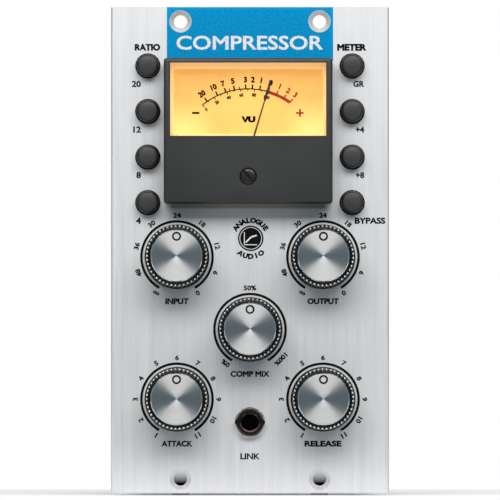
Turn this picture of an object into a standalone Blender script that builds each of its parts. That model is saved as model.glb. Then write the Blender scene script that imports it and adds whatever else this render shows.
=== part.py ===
"""A two-slot modular rack compressor, with five rotary controls, eight push buttons and a level meter.

Frame: +X to the right of someone facing the panel, +Y into the rack, +Z up. The origin is on the back
face of the front panel, midway between its two lower fixing holes, where the panel seats on the rack's
lower rail. Metres.
"""

from math import atan2, cos, hypot, pi, radians, sin, tau

import bmesh
import bpy
from mathutils import Matrix

MM = 0.001

# Clearances
GAP = 0.3 * MM  # between pieces that lie against each other
RUNNING = 0.25 * MM  # radial, round anything that turns or slides

# Front panel
PANEL_WIDTH = 76.2 * MM  # two slots of 38.1
PANEL_HEIGHT = 133.35 * MM
PANEL_THICKNESS = 3.0 * MM
PANEL_CHAMFER = 0.4 * MM
FIXING_INSET = 3.96 * MM  # from the panel's upper and lower edges to the hole centres
FIXING_SPACING = 38.1 * MM
FIXING_RADIUS = 1.85 * MM
COUNTERSINK_RADIUS = 3.0 * MM
RAIL_HEIGHT = 7.8 * MM  # of the panel's back that the rack's rails cover, above and below

# Folded chassis
SHEET = 1.2 * MM
CHASSIS_SIDE_CLEARANCE = 1.9 * MM  # from the panel's side edges
CHASSIS_DEPTH = 138.0 * MM
FLANGE = 8.0 * MM
VENT_COUNT = 7
VENT_LENGTH = 34.0 * MM
VENT_WIDTH = 3.0 * MM
VENT_PITCH = 9.0 * MM

# Main board, upright, with the card edge that plugs into the rack
BOARD_THICKNESS = 1.6 * MM
BOARD_MARGIN = 2.6 * MM  # to the chassis above and below
MAIN_BOARD_GAP = 4.4 * MM  # from the control board
CARD_EDGE_HEIGHT = 62.0 * MM
CARD_EDGE_REACH = 12.0 * MM  # behind the chassis
CARD_SLOT_CLEARANCE = 0.9 * MM
STANDOFF_INSET = 8.0 * MM
STANDOFF_ACROSS_FLATS = 5.5 * MM
HEADER_SIZE = (7.0 * MM, 5.5 * MM, 40.0 * MM)
TRANSFORMER_RADIUS = 13.0 * MM
TRANSFORMER_HEIGHT = 22.0 * MM
TRANSFORMER_OFFSET = 34.0 * MM  # above and below the board's middle
TRANSFORMER_TO_END = 10.0 * MM  # from its can to the board's rear end

# Control board, parallel to the panel, behind the controls
CONTROL_BOARD_FRONT = 14.0 * MM

# Knobs and their potentiometers
KNOB_COLUMN = 20.0 * MM
KNOB_ROWS = {"high": 60.8 * MM, "middle": 40.9 * MM, "low": 21.8 * MM}
KNOBS = {
    "input": (-KNOB_COLUMN, KNOB_ROWS["high"]),
    "output": (KNOB_COLUMN, KNOB_ROWS["high"]),
    "comp_mix": (0.0, KNOB_ROWS["middle"]),
    "attack": (-KNOB_COLUMN, KNOB_ROWS["low"]),
    "release": (KNOB_COLUMN, KNOB_ROWS["low"]),
}
KNOB_BASE_RADIUS = 8.85 * MM
KNOB_FRONT_RADIUS = 7.95 * MM
KNOB_HEIGHT = 13.0 * MM
KNOB_LIFT = 0.8 * MM  # off the panel
KNOB_FLUTES = 45
FLUTE_DEPTH = 0.35 * MM
KNOB_CAVITY_RADIUS = 6.4 * MM
KNOB_CAVITY_SPARE = 0.8 * MM  # beyond the bushing's end
CAP_RADIUS = 7.3 * MM
CAP_THICKNESS = 0.8 * MM
CAP_PROUD = 0.3 * MM
CAP_CHAMFER = 0.35 * MM
SHAFT_RADIUS = 3.0 * MM
SHAFT_FLAT = 0.9 * MM
SHAFT_TO_CAP = 2.2 * MM  # from the shaft's end to the knob's front
SHAFT_IN_POT = 7.0 * MM
BUSHING_WALL = 0.6 * MM
BUSHING_PROUD = 4.5 * MM  # of the panel
POT_RADIUS = 8.25 * MM
NUT_ACROSS_FLATS = 10.0 * MM
NUT_THICKNESS = 2.0 * MM

# Level meter
METER_WIDTH = 46.1 * MM
METER_HEIGHT = 39.7 * MM
METER_BELOW_TOP = 14.4 * MM  # from the panel's upper edge
METER_SIDEWAYS = -0.5 * MM  # of its centre, from the panel's
METER_PROUD = 9.3 * MM  # of the panel
BEZEL_WALL = 0.8 * MM
BEZEL_FRONT = 1.2 * MM
BEZEL_ROUNDING = 0.7 * MM
WINDOW_HEIGHT = 20.1 * MM
WINDOW_TOP_MARGIN = 1.2 * MM
WINDOW_SIDE_MARGIN = 1.75 * MM
PANE_THICKNESS = 1.0 * MM
PANE_LAP = 0.28 * MM  # of the pane behind the bezel, on each side
CASE_FLANGE = 1.4 * MM  # thickness
CASE_SIDE_INSET = 2.0 * MM  # of the flange, from the bezel's sides and top
CASE_DROP = 1.2 * MM  # of the flange below the bezel
BARREL_RADIUS = 15.0 * MM
BARREL_WALL = 1.2 * MM
BARREL_DEPTH = 22.0 * MM
DIAL_THICKNESS = 0.8 * MM
PIVOT_BELOW_CENTRE = 6.7 * MM  # of the pointer's pivot, from the meter's centre
BARREL_ABOVE_PIVOT = 2.9 * MM
POINTER_LENGTH = 21.6 * MM
POINTER_TAIL = 4.0 * MM
POINTER_THICKNESS = 0.3 * MM
POINTER_OVER_DIAL = 1.2 * MM
POINTER_ANGLE = radians(16.7)  # clockwise from upright, at rest
POINTER_HALF_WIDTHS = {"tail": 0.6 * MM, "hub": 0.3 * MM, "neck": 0.17 * MM, "tip": 0.32 * MM}
POINTER_NECK_LENGTH = 15.5 * MM
HUB_RADIUS = 1.6 * MM
AXLE_RADIUS = 0.8 * MM
MAGNET_RADIUS = 9.0 * MM
MAGNET_FRONT = 4.0 * MM
AXLE_IN_MAGNET = 4.0 * MM
ZERO_SCREW_RADIUS = 2.3 * MM
ZERO_SCREW_BELOW_CENTRE = 12.5 * MM
ZERO_SCREW_LENGTH = 3.0 * MM
ZERO_SCREW_PROUD = 0.3 * MM
ZERO_SLOT_WIDTH = 0.8 * MM
ZERO_SLOT_DEPTH = 0.9 * MM
ZERO_SLOT_ANGLE = radians(-42)

# Push buttons, in two upright switch banks
BUTTON_BESIDE_METER = 1.7 * MM  # from the cap to the bezel
BUTTON_TOP_BELOW_EDGE = 16.2 * MM  # from the panel's upper edge
BUTTON_PITCH = 12.5 * MM
BUTTON_RADIUS = 3.25 * MM
BUTTON_PROUD = 4.2 * MM
BUTTON_TRAVEL = 2.5 * MM
BUTTON_SHOULDER = 2.2 * MM  # of the cap's back end, behind the panel's back face
BUTTON_CHAMFER = 0.9 * MM
BUTTON_DOME = 0.25 * MM
STEM_RADIUS = 1.9 * MM
STEM_IN_BANK = 4.4 * MM
BANK_WIDTH = 9.0 * MM
BANK_END = 5.0 * MM  # beyond the first and the last button's centre
BUTTON_COLUMN = METER_WIDTH / 2 + BUTTON_BESIDE_METER + BUTTON_RADIUS
BANKS = {
    "ratio": (-BUTTON_COLUMN, ("ratio_20", "ratio_12", "ratio_8", "ratio_4")),
    "meter": (BUTTON_COLUMN, ("meter_gr", "meter_plus_4", "meter_plus_8", "bypass")),
}

# Link socket
JACK_HEIGHT = 15.5 * MM  # of its centre above the lower fixing holes
JACK_BODY = 9.0 * MM
JACK_NOSE_RADIUS = 2.75 * MM
JACK_BORE_RADIUS = 1.85 * MM
JACK_BORE_DEPTH = 14.0 * MM
JACK_NUT_ACROSS_FLATS = 7.2 * MM
JACK_NUT_THICKNESS = 2.0 * MM
JACK_NOSE_OVER_NUT = 0.4 * MM

# Cover screws
SCREW_RADIUS = 1.4 * MM
SCREW_REACH = 0.7 * MM  # beyond the tray's flange
SCREW_HEAD_RADIUS = 2.8 * MM
SCREW_HEAD_HEIGHT = 1.2 * MM
SCREW_EDGE = 14.0 * MM  # from the chassis's top and bottom

# Mesh fineness
ROUND_BIG = 40
ROUND = 20
ROUND_SMALL = 16

# Worked out from the sizes above
PANEL_FRONT = -PANEL_THICKNESS
PANEL_LOW = -FIXING_INSET
PANEL_HIGH = PANEL_LOW + PANEL_HEIGHT
PANEL_MIDDLE = (PANEL_LOW + PANEL_HIGH) / 2
FIXING_HIGH = PANEL_HIGH - FIXING_INSET
SEAT_LOW = PANEL_LOW + RAIL_HEIGHT
SEAT_HIGH = PANEL_HIGH - RAIL_HEIGHT
CHASSIS_LOW = SEAT_LOW + GAP
CHASSIS_HIGH = SEAT_HIGH - GAP
CHASSIS_LEFT = -PANEL_WIDTH / 2 + CHASSIS_SIDE_CLEARANCE
COVER_RIGHT = PANEL_WIDTH / 2 - CHASSIS_SIDE_CLEARANCE
TRAY_RIGHT = COVER_RIGHT - SHEET - GAP
TRAY_INNER_LEFT = CHASSIS_LEFT + SHEET
TRAY_INNER_RIGHT = TRAY_RIGHT - SHEET
BOARD_LOW = CHASSIS_LOW + SHEET + BOARD_MARGIN
BOARD_HIGH = CHASSIS_HIGH - SHEET - BOARD_MARGIN
MAIN_BOARD_X = -PANEL_WIDTH / 4  # the left-hand slot's middle
MAIN_BOARD_LEFT = MAIN_BOARD_X - BOARD_THICKNESS / 2
MAIN_BOARD_RIGHT = MAIN_BOARD_X + BOARD_THICKNESS / 2
MAIN_BOARD_END = CHASSIS_DEPTH - SHEET - BOARD_MARGIN
CONTROL_BOARD_BACK = CONTROL_BOARD_FRONT + BOARD_THICKNESS
MAIN_BOARD_START = CONTROL_BOARD_BACK + MAIN_BOARD_GAP
CONTROLS_FRONT = SHEET + GAP  # where the bodies behind the chassis's front wall begin
CONTROLS_BACK = CONTROL_BOARD_FRONT - GAP
BUSHING_BORE = SHAFT_RADIUS + RUNNING
BUSHING_RADIUS = BUSHING_BORE + BUSHING_WALL
BUSHING_FRONT = PANEL_FRONT - BUSHING_PROUD
KNOB_BACK = PANEL_FRONT - KNOB_LIFT
KNOB_FRONT = KNOB_BACK - KNOB_HEIGHT
METER_HIGH = PANEL_HIGH - METER_BELOW_TOP
METER_LOW = METER_HIGH - METER_HEIGHT
METER_CENTRE = (METER_LOW + METER_HIGH) / 2
METER_FRONT = PANEL_FRONT - METER_PROUD
WINDOW_WIDTH = METER_WIDTH - 2 * WINDOW_SIDE_MARGIN
WINDOW_HIGH = METER_HIGH - WINDOW_TOP_MARGIN
WINDOW_LOW = WINDOW_HIGH - WINDOW_HEIGHT
CASE_BACK = PANEL_FRONT - GAP
CASE_FRONT = CASE_BACK - CASE_FLANGE
BEZEL_BACK = CASE_FRONT - GAP
CAVITY_FRONT = METER_FRONT + BEZEL_FRONT
DIAL_BACK = BEZEL_BACK - 2 * GAP
DIAL_FRONT = DIAL_BACK - DIAL_THICKNESS
PIVOT = METER_CENTRE - PIVOT_BELOW_CENTRE
BARREL_CENTRE = PIVOT + BARREL_ABOVE_PIVOT
POINTER_BACK = DIAL_FRONT - POINTER_OVER_DIAL
ZERO_SCREW = METER_CENTRE - ZERO_SCREW_BELOW_CENTRE
BUTTON_TOP = PANEL_HIGH - BUTTON_TOP_BELOW_EDGE
BANK_FRONT = BUTTON_SHOULDER + BUTTON_TRAVEL + 2 * GAP
BANK_HIGH = BUTTON_TOP + BANK_END
BANK_LOW = BUTTON_TOP - 3 * BUTTON_PITCH - BANK_END

# Colour, roughness and metallic value of each finish
FINISHES = {
    "panel_aluminium": ((0.70, 0.70, 0.71), 0.40, 1.0),
    "chassis_steel": ((0.55, 0.56, 0.57), 0.42, 1.0),
    "screw_steel": ((0.30, 0.30, 0.31), 0.35, 1.0),
    "board_green": ((0.02, 0.13, 0.07), 0.45, 0.0),
    "knob_black": ((0.015, 0.015, 0.016), 0.42, 0.0),
    "cap_aluminium": ((0.80, 0.81, 0.82), 0.22, 1.0),
    "shaft_brass": ((0.62, 0.50, 0.26), 0.30, 1.0),
    "pot_steel": ((0.45, 0.45, 0.46), 0.40, 1.0),
    "nut_nickel": ((0.65, 0.64, 0.62), 0.28, 1.0),
    "button_black": ((0.03, 0.03, 0.03), 0.50, 0.0),
    "housing_black": ((0.02, 0.02, 0.02), 0.55, 0.0),
    "bezel_black": ((0.04, 0.04, 0.04), 0.25, 0.0),
    "case_grey": ((0.16, 0.155, 0.13), 0.50, 0.0),
    "window_clear": ((0.95, 0.97, 0.98), 0.05, 0.0),
    "dial_amber": ((1.00, 0.68, 0.26), 0.60, 0.0),
    "pointer_black": ((0.02, 0.015, 0.01), 0.45, 0.0),
    "magnet_steel": ((0.35, 0.35, 0.36), 0.45, 1.0),
}


# Mesh helpers -------------------------------------------------------------------------------------


def point(axis, a, b, along):
    """The point `along` an axis and (a, b) across it: (y, z) across X, (x, z) across Y, (x, y) across Z."""
    return {"X": (along, a, b), "Y": (a, along, b), "Z": (a, b, along)}[axis]


def add_box(bm, low, high):
    size = [h - l for l, h in zip(low, high)]
    centre = [(l + h) / 2 for l, h in zip(low, high)]
    place = Matrix.Translation(centre) @ Matrix.Diagonal((*size, 1))
    return bmesh.ops.create_cube(bm, size=1, matrix=place)["verts"]


def add_prism(bm, outline, start, end, axis="Y"):
    """An outline of points across the axis, drawn out from start to end along it."""
    first = [bm.verts.new(point(axis, a, b, start)) for a, b in outline]
    last = [bm.verts.new(point(axis, a, b, end)) for a, b in outline]
    bm.faces.new(first)
    bm.faces.new(last)
    for i in range(len(outline)):
        bm.faces.new((first[i - 1], first[i], last[i], last[i - 1]))


def add_turned(bm, profile, segments, centre=(0, 0), axis="Y"):
    """A profile of (radius, along) points turned round an axis. Both its ends lie on the axis."""
    rings = []
    for radius, along in profile:
        angles = [tau * i / segments for i in range(segments if radius else 1)]
        rings.append(
            [
                bm.verts.new(point(axis, centre[0] + radius * cos(t), centre[1] + radius * sin(t), along))
                for t in angles
            ]
        )
    for one, two in zip(rings, rings[1:]):
        for i in range(segments):
            j = (i + 1) % segments
            corners = [one[i % len(one)], one[j % len(one)], two[j % len(two)], two[i % len(two)]]
            bm.faces.new(list(dict.fromkeys(corners)))


def add_rod(bm, radius, start, end, centre=(0, 0), axis="Y", segments=ROUND):
    add_turned(bm, [(0, start), (radius, start), (radius, end), (0, end)], segments, centre, axis)


def add_hexagon(bm, across_flats, start, end, centre=(0, 0), axis="Y", first_corner=pi / 2):
    """A six-sided prism, with a corner straight up unless another angle is given for it."""
    radius = across_flats / 2 / cos(pi / 6)
    corners = [first_corner + tau * i / 6 for i in range(6)]
    outline = [(centre[0] + radius * cos(t), centre[1] + radius * sin(t)) for t in corners]
    add_prism(bm, outline, start, end, axis)


def slot_outline(centre, length, width, arc_steps=4):
    """A slot with round ends, long in the second direction."""
    radius = width / 2
    straight = length / 2 - radius
    outline = []
    for end in (1, -1):
        for i in range(arc_steps + 1):
            t = (0 if end > 0 else pi) + pi * i / arc_steps
            outline.append((centre[0] + radius * cos(t), centre[1] + end * straight + radius * sin(t)))
    return outline


def object_from(bm, name, smooth_below=35):
    """Closes a mesh's normals outwards and links it as an object."""
    bmesh.ops.recalc_face_normals(bm, faces=bm.faces)
    mesh = bpy.data.meshes.new(name)
    bm.to_mesh(mesh)
    bm.free()
    mesh.shade_smooth()
    mesh.set_sharp_from_angle(angle=radians(smooth_below))
    made = bpy.data.objects.new(name, mesh)
    bpy.context.scene.collection.objects.link(made)
    return made


def finish(name):
    """The Principled material of one finish, made once."""
    found = bpy.data.materials.get(name)
    if found:
        return found
    colour, roughness, metallic = FINISHES[name]
    made = bpy.data.materials.new(name)
    made.use_nodes = True
    shader = made.node_tree.nodes["Principled BSDF"]
    shader.inputs["Base Color"].default_value = (*colour, 1)
    shader.inputs["Roughness"].default_value = roughness
    shader.inputs["Metallic"].default_value = metallic
    made.diffuse_color = (*colour, 1)
    return made


def piece(name, bm, finish_name, at=(0, 0, 0), parent=None):
    """One sub-part of the assembly."""
    made = object_from(bm, name)
    made.data.materials.append(finish(finish_name))
    made.location = at
    made.parent = parent
    return made


def combine(target, bm, operation):
    """Cuts a helper shape from the target, or joins it on. The helper moves with it and isn't a part."""
    helper = object_from(bm, f"{target.name}_{operation.lower()}_{len(target.modifiers)}")
    helper.parent = target
    helper.hide_render = True
    helper.display_type = "WIRE"
    modifier = target.modifiers.new(operation.title(), "BOOLEAN")
    modifier.operation = operation
    modifier.object = helper
    return target


def cut(target, bm):
    return combine(target, bm, "DIFFERENCE")


def join(target, bm):
    return combine(target, bm, "UNION")


def axis_empty(name, x, y, z):
    """An empty on a moving piece's axis, which its pieces are parented to."""
    made = bpy.data.objects.new(name, None)
    made.location = (x, y, z)
    bpy.context.scene.collection.objects.link(made)
    return made


# Openings that several pieces share ---------------------------------------------------------------


def add_control_holes(bm, start, end):
    """Round holes for the knobs' bushings, the meter's barrel and the link socket's nose."""
    for x, z in KNOBS.values():
        add_rod(bm, BUSHING_RADIUS + RUNNING, start, end, (x, z), segments=ROUND_SMALL)
    add_rod(bm, BARREL_RADIUS + GAP, start, end, (METER_SIDEWAYS, BARREL_CENTRE), segments=ROUND_BIG)
    add_rod(bm, JACK_NOSE_RADIUS + RUNNING, start, end, (0, JACK_HEIGHT), segments=ROUND_SMALL)


def button_heights(names):
    return {name: BUTTON_TOP - i * BUTTON_PITCH for i, name in enumerate(names)}


# Structure ----------------------------------------------------------------------------------------


def front_panel():
    """The plate that screws to the rack, relieved at the back where the chassis lies."""
    bm = bmesh.new()
    add_box(bm, (-PANEL_WIDTH / 2, PANEL_FRONT, PANEL_LOW), (PANEL_WIDTH / 2, 0, PANEL_HIGH))
    front = [e for e in bm.edges if all(v.co.y < PANEL_FRONT / 2 for v in e.verts)]
    bmesh.ops.bevel(bm, geom=front, offset=PANEL_CHAMFER, segments=1, affect="EDGES")
    panel = piece("front_panel", bm, "panel_aluminium")

    relief = bmesh.new()
    add_box(relief, (-PANEL_WIDTH, -GAP, SEAT_LOW), (PANEL_WIDTH, PANEL_THICKNESS, SEAT_HIGH))
    cut(panel, relief)

    holes = bmesh.new()
    beyond = PANEL_FRONT - PANEL_THICKNESS
    add_control_holes(holes, beyond, PANEL_THICKNESS)
    for x, names in BANKS.values():
        for z in button_heights(names).values():
            add_rod(holes, BUTTON_RADIUS + RUNNING, beyond, PANEL_THICKNESS, (x, z), segments=ROUND)
    widening = COUNTERSINK_RADIUS - FIXING_RADIUS
    fixing = [
        (0, beyond),
        (COUNTERSINK_RADIUS, beyond),
        (COUNTERSINK_RADIUS, PANEL_FRONT),
        (FIXING_RADIUS, PANEL_FRONT + widening),
        (FIXING_RADIUS, PANEL_THICKNESS),
        (0, PANEL_THICKNESS),
    ]
    for x in (-FIXING_SPACING / 2, FIXING_SPACING / 2):
        for z in (0, FIXING_HIGH):
            add_turned(holes, fixing, ROUND, (x, z))
    return cut(panel, holes)


def vent_centres():
    """Where the vent slots lie along the chassis's sides: (y, z), in two rows."""
    first = CHASSIS_DEPTH / 2 - VENT_PITCH * (VENT_COUNT - 1) / 2
    rows = (PANEL_MIDDLE - VENT_LENGTH * 0.62, PANEL_MIDDLE + VENT_LENGTH * 0.62)
    return [(first + i * VENT_PITCH, z) for i in range(VENT_COUNT) for z in rows]


def screw_places():
    """(y, z) of the four cover screws, in the tray's side flanges."""
    return {
        f"{end}_{side}": (y, z)
        for end, y in (("front", SHEET + FLANGE / 2), ("rear", CHASSIS_DEPTH - SHEET - FLANGE / 2))
        for side, z in (("lower", CHASSIS_LOW + SCREW_EDGE), ("upper", CHASSIS_HIGH - SCREW_EDGE))
    }


def chassis_tray():
    """A folded box: closed at the front, left and rear, framed above and below, and open to the right."""
    bm = bmesh.new()
    add_box(bm, (CHASSIS_LEFT, 0, CHASSIS_LOW), (TRAY_RIGHT, CHASSIS_DEPTH, CHASSIS_HIGH))
    tray = piece("chassis_tray", bm, "chassis_steel")
    rear = CHASSIS_DEPTH - SHEET
    low, high = CHASSIS_LOW + SHEET, CHASSIS_HIGH - SHEET

    inside = bmesh.new()
    add_box(inside, (TRAY_INNER_LEFT, SHEET, low), (TRAY_INNER_RIGHT, rear, high))
    cut(tray, inside)

    side = bmesh.new()
    add_box(
        side,
        (TRAY_INNER_RIGHT - SHEET, SHEET + FLANGE, low),
        (TRAY_RIGHT + SHEET, rear - FLANGE, high),
    )
    cut(tray, side)

    windows = bmesh.new()
    add_box(
        windows,
        (TRAY_INNER_LEFT + FLANGE, SHEET + FLANGE, CHASSIS_LOW - SHEET),
        (TRAY_INNER_RIGHT - FLANGE, rear - FLANGE, CHASSIS_HIGH + SHEET),
    )
    cut(tray, windows)

    holes = bmesh.new()
    add_control_holes(holes, -SHEET, 2 * SHEET)
    window = BUTTON_RADIUS + RUNNING + GAP
    for x, names in BANKS.values():
        heights = button_heights(names).values()
        add_box(
            holes,
            (x - window, -SHEET, min(heights) - window),
            (x + window, 2 * SHEET, max(heights) + window),
        )
    slack = BOARD_THICKNESS / 2 + CARD_SLOT_CLEARANCE
    tall = CARD_EDGE_HEIGHT / 2 + CARD_SLOT_CLEARANCE
    add_box(
        holes,
        (MAIN_BOARD_X - slack, rear - SHEET, PANEL_MIDDLE - tall),
        (MAIN_BOARD_X + slack, CHASSIS_DEPTH + SHEET, PANEL_MIDDLE + tall),
    )
    for y, z in vent_centres():
        outline = slot_outline((y, z), VENT_LENGTH, VENT_WIDTH)
        add_prism(holes, outline, CHASSIS_LEFT - SHEET, CHASSIS_LEFT + 2 * SHEET, "X")
    for y, z in screw_places().values():
        place = (y, z)
        start, end = TRAY_INNER_RIGHT - SHEET, TRAY_RIGHT + SHEET
        add_rod(holes, SCREW_RADIUS + RUNNING, start, end, place, "X", ROUND_SMALL)
    return cut(tray, holes)


def chassis_cover():
    """The flat plate that closes the tray's right side."""
    bm = bmesh.new()
    start = COVER_RIGHT - SHEET
    add_box(bm, (start, GAP, CHASSIS_LOW), (COVER_RIGHT, CHASSIS_DEPTH, CHASSIS_HIGH))
    cover = piece("chassis_cover", bm, "chassis_steel")
    holes = bmesh.new()
    for y, z in vent_centres():
        outline = slot_outline((y, z), VENT_LENGTH, VENT_WIDTH)
        add_prism(holes, outline, start - SHEET, COVER_RIGHT + SHEET, "X")
    for y, z in screw_places().values():
        add_rod(holes, SCREW_RADIUS + RUNNING, start - SHEET, COVER_RIGHT + SHEET, (y, z), "X", ROUND_SMALL)
    return cut(cover, holes)


def cover_screws():
    """Pan-head screws that hold the cover to the tray's flanges."""
    seat = COVER_RIGHT + GAP / 2
    end = seat + SCREW_HEAD_HEIGHT
    tip = TRAY_INNER_RIGHT - SCREW_REACH
    head = [
        (0, tip),
        (SCREW_RADIUS, tip),
        (SCREW_RADIUS, seat),
        (SCREW_HEAD_RADIUS, seat),
        (SCREW_HEAD_RADIUS, seat + SCREW_HEAD_HEIGHT / 2),
        (SCREW_HEAD_RADIUS * 0.75, end),
        (0, end),
    ]
    for place, centre in screw_places().items():
        bm = bmesh.new()
        add_turned(bm, head, ROUND_SMALL, centre, "X")
        piece(f"cover_screw_{place}", bm, "screw_steel")


# Boards -------------------------------------------------------------------------------------------


def standoff_places():
    return {
        f"{end}_{side}": (y, z)
        for end, y in (("front", MAIN_BOARD_START + STANDOFF_INSET), ("rear", MAIN_BOARD_END - STANDOFF_INSET))
        for side, z in (("lower", BOARD_LOW + STANDOFF_INSET), ("upper", BOARD_HIGH - STANDOFF_INSET))
    }


def main_board():
    """The audio board. Its rear edge is the card edge that enters the rack's connector."""
    tongue_low = PANEL_MIDDLE - CARD_EDGE_HEIGHT / 2
    tongue_high = PANEL_MIDDLE + CARD_EDGE_HEIGHT / 2
    tongue_end = CHASSIS_DEPTH + CARD_EDGE_REACH
    outline = [
        (MAIN_BOARD_START, BOARD_LOW),
        (MAIN_BOARD_END, BOARD_LOW),
        (MAIN_BOARD_END, tongue_low),
        (tongue_end, tongue_low),
        (tongue_end, tongue_high),
        (MAIN_BOARD_END, tongue_high),
        (MAIN_BOARD_END, BOARD_HIGH),
        (MAIN_BOARD_START, BOARD_HIGH),
    ]
    bm = bmesh.new()
    add_prism(bm, outline, MAIN_BOARD_LEFT, MAIN_BOARD_RIGHT, "X")
    return piece("main_board", bm, "board_green")


def standoffs():
    """Hexagonal pillars from the tray's left wall to the main board."""
    for place, centre in standoff_places().items():
        bm = bmesh.new()
        add_hexagon(bm, STANDOFF_ACROSS_FLATS, TRAY_INNER_LEFT + GAP, MAIN_BOARD_LEFT - GAP, centre, "X")
        piece(f"standoff_{place}", bm, "nut_nickel")


def transformers():
    """Two shielded audio transformers, standing on the main board."""
    y = MAIN_BOARD_END - TRANSFORMER_TO_END - TRANSFORMER_RADIUS
    start = MAIN_BOARD_RIGHT + GAP
    end = start + TRANSFORMER_HEIGHT
    rounding = TRANSFORMER_RADIUS * 0.08
    profile = [
        (0, start),
        (TRANSFORMER_RADIUS, start),
        (TRANSFORMER_RADIUS, end - rounding),
        (TRANSFORMER_RADIUS - rounding, end),
        (0, end),
    ]
    for name, side in (("input_transformer", 1), ("output_transformer", -1)):
        bm = bmesh.new()
        centre = (y, PANEL_MIDDLE + side * TRANSFORMER_OFFSET)
        add_turned(bm, profile, ROUND, centre, "X")
        piece(name, bm, "magnet_steel")


def board_header():
    """The pin header that joins the main board to the control board."""
    across, deep, tall = HEADER_SIZE
    bm = bmesh.new()
    start = CONTROL_BOARD_BACK + GAP
    low = BOARD_LOW + STANDOFF_INSET
    add_box(bm, (MAIN_BOARD_RIGHT + GAP, start, low), (MAIN_BOARD_RIGHT + across, start + deep, low + tall))
    return piece("board_header", bm, "housing_black")


def control_board():
    """The board behind the panel that carries the potentiometers, the switch banks and the link socket."""
    margin = BOARD_MARGIN / 2
    bm = bmesh.new()
    add_box(
        bm,
        (TRAY_INNER_LEFT + margin, CONTROL_BOARD_FRONT, CHASSIS_LOW + SHEET + margin),
        (TRAY_INNER_RIGHT - margin, CONTROL_BOARD_BACK, CHASSIS_HIGH - SHEET - margin),
    )
    board = piece("control_board", bm, "board_green")
    hole = bmesh.new()
    beyond = BOARD_THICKNESS
    centre = (METER_SIDEWAYS, BARREL_CENTRE)
    add_rod(hole, BARREL_RADIUS + GAP, CONTROL_BOARD_FRONT - beyond, CONTROL_BOARD_BACK + beyond, centre)
    return cut(board, hole)


# Rotary controls ----------------------------------------------------------------------------------


def potentiometer(name, x, z):
    """The fixed body, with the threaded bushing that the panel is clamped on."""
    bore_end = CONTROLS_FRONT + SHAFT_IN_POT + GAP
    profile = [
        (0, bore_end),
        (BUSHING_BORE, bore_end),
        (BUSHING_BORE, BUSHING_FRONT),
        (BUSHING_RADIUS, BUSHING_FRONT),
        (BUSHING_RADIUS, CONTROLS_FRONT),
        (POT_RADIUS, CONTROLS_FRONT),
        (POT_RADIUS, CONTROLS_BACK),
        (0, CONTROLS_BACK),
    ]
    bm = bmesh.new()
    add_turned(bm, profile, ROUND)
    return piece(f"{name}_pot", bm, "pot_steel", (x, 0, z))


def pot_nut(name, x, z):
    """The nut under the knob, on the panel's front."""
    bm = bmesh.new()
    seat = PANEL_FRONT - GAP
    add_hexagon(bm, NUT_ACROSS_FLATS, seat - NUT_THICKNESS, seat)
    nut = piece(f"{name}_pot_nut", bm, "nut_nickel", (x, 0, z))
    bore = bmesh.new()
    start, end = seat - 2 * NUT_THICKNESS, seat + NUT_THICKNESS
    add_rod(bore, BUSHING_RADIUS + RUNNING, start, end, segments=ROUND_SMALL)
    return cut(nut, bore)


def fluted_ring(bm, radius, along):
    """One ring of the knob's side: a crest and a root for each flute."""
    ring = []
    for i in range(2 * KNOB_FLUTES):
        t = tau * i / (2 * KNOB_FLUTES)
        r = radius - (FLUTE_DEPTH if i % 2 else 0)
        ring.append(bm.verts.new((r * sin(t), along, r * cos(t))))
    return ring


def knob_body(name, parent, base):
    """The black moulding, fluted and tapered, hollow behind to cover the nut."""
    bm = bmesh.new()
    back = fluted_ring(bm, KNOB_BASE_RADIUS, KNOB_BACK - base)
    front = fluted_ring(bm, KNOB_FRONT_RADIUS, KNOB_FRONT - base)
    bm.faces.new(back)
    bm.faces.new(front)
    for i in range(len(back)):
        bm.faces.new((back[i - 1], back[i], front[i], front[i - 1]))
    knob = piece(f"{name}_knob", bm, "knob_black", parent=parent)

    hollow = bmesh.new()
    cavity_end = BUSHING_FRONT - KNOB_CAVITY_SPARE - base
    bore_end = KNOB_FRONT + SHAFT_TO_CAP - GAP - base
    open_end = KNOB_BACK + KNOB_LIFT / 2 - base
    profile = [
        (0, bore_end),
        (SHAFT_RADIUS + RUNNING / 2, bore_end),
        (SHAFT_RADIUS + RUNNING / 2, cavity_end),
        (KNOB_CAVITY_RADIUS, cavity_end),
        (KNOB_CAVITY_RADIUS, open_end),
        (0, open_end),
    ]
    add_turned(hollow, profile, ROUND)
    floor = KNOB_FRONT + CAP_THICKNESS - CAP_PROUD + GAP - base
    add_rod(hollow, CAP_RADIUS + GAP / 2, KNOB_FRONT - CAP_THICKNESS - base, floor, segments=ROUND_BIG)
    return cut(knob, hollow)


def knob_cap(name, parent, base):
    """The spun aluminium disc let into the knob's front."""
    front = KNOB_FRONT - CAP_PROUD - base
    profile = [
        (0, front),
        (CAP_RADIUS - CAP_CHAMFER, front),
        (CAP_RADIUS, front + CAP_CHAMFER),
        (CAP_RADIUS, front + CAP_THICKNESS),
        (0, front + CAP_THICKNESS),
    ]
    bm = bmesh.new()
    add_turned(bm, profile, ROUND_BIG)
    return piece(f"{name}_knob_cap", bm, "cap_aluminium", parent=parent)


def shaft(name, parent, base):
    """The potentiometer's shaft, with a flat for the knob's grub screw."""
    front = KNOB_FRONT + SHAFT_TO_CAP - base
    back = CONTROLS_FRONT + SHAFT_IN_POT - base
    bm = bmesh.new()
    add_rod(bm, SHAFT_RADIUS, front, back)
    made = piece(f"{name}_shaft", bm, "shaft_brass", parent=parent)
    flat = bmesh.new()
    flat_end = BUSHING_FRONT - GAP - base
    add_box(
        flat,
        (-SHAFT_RADIUS * 2, front - GAP, -SHAFT_RADIUS * 2),
        (SHAFT_RADIUS * 2, flat_end, -SHAFT_RADIUS + SHAFT_FLAT),
    )
    return cut(made, flat)


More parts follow.
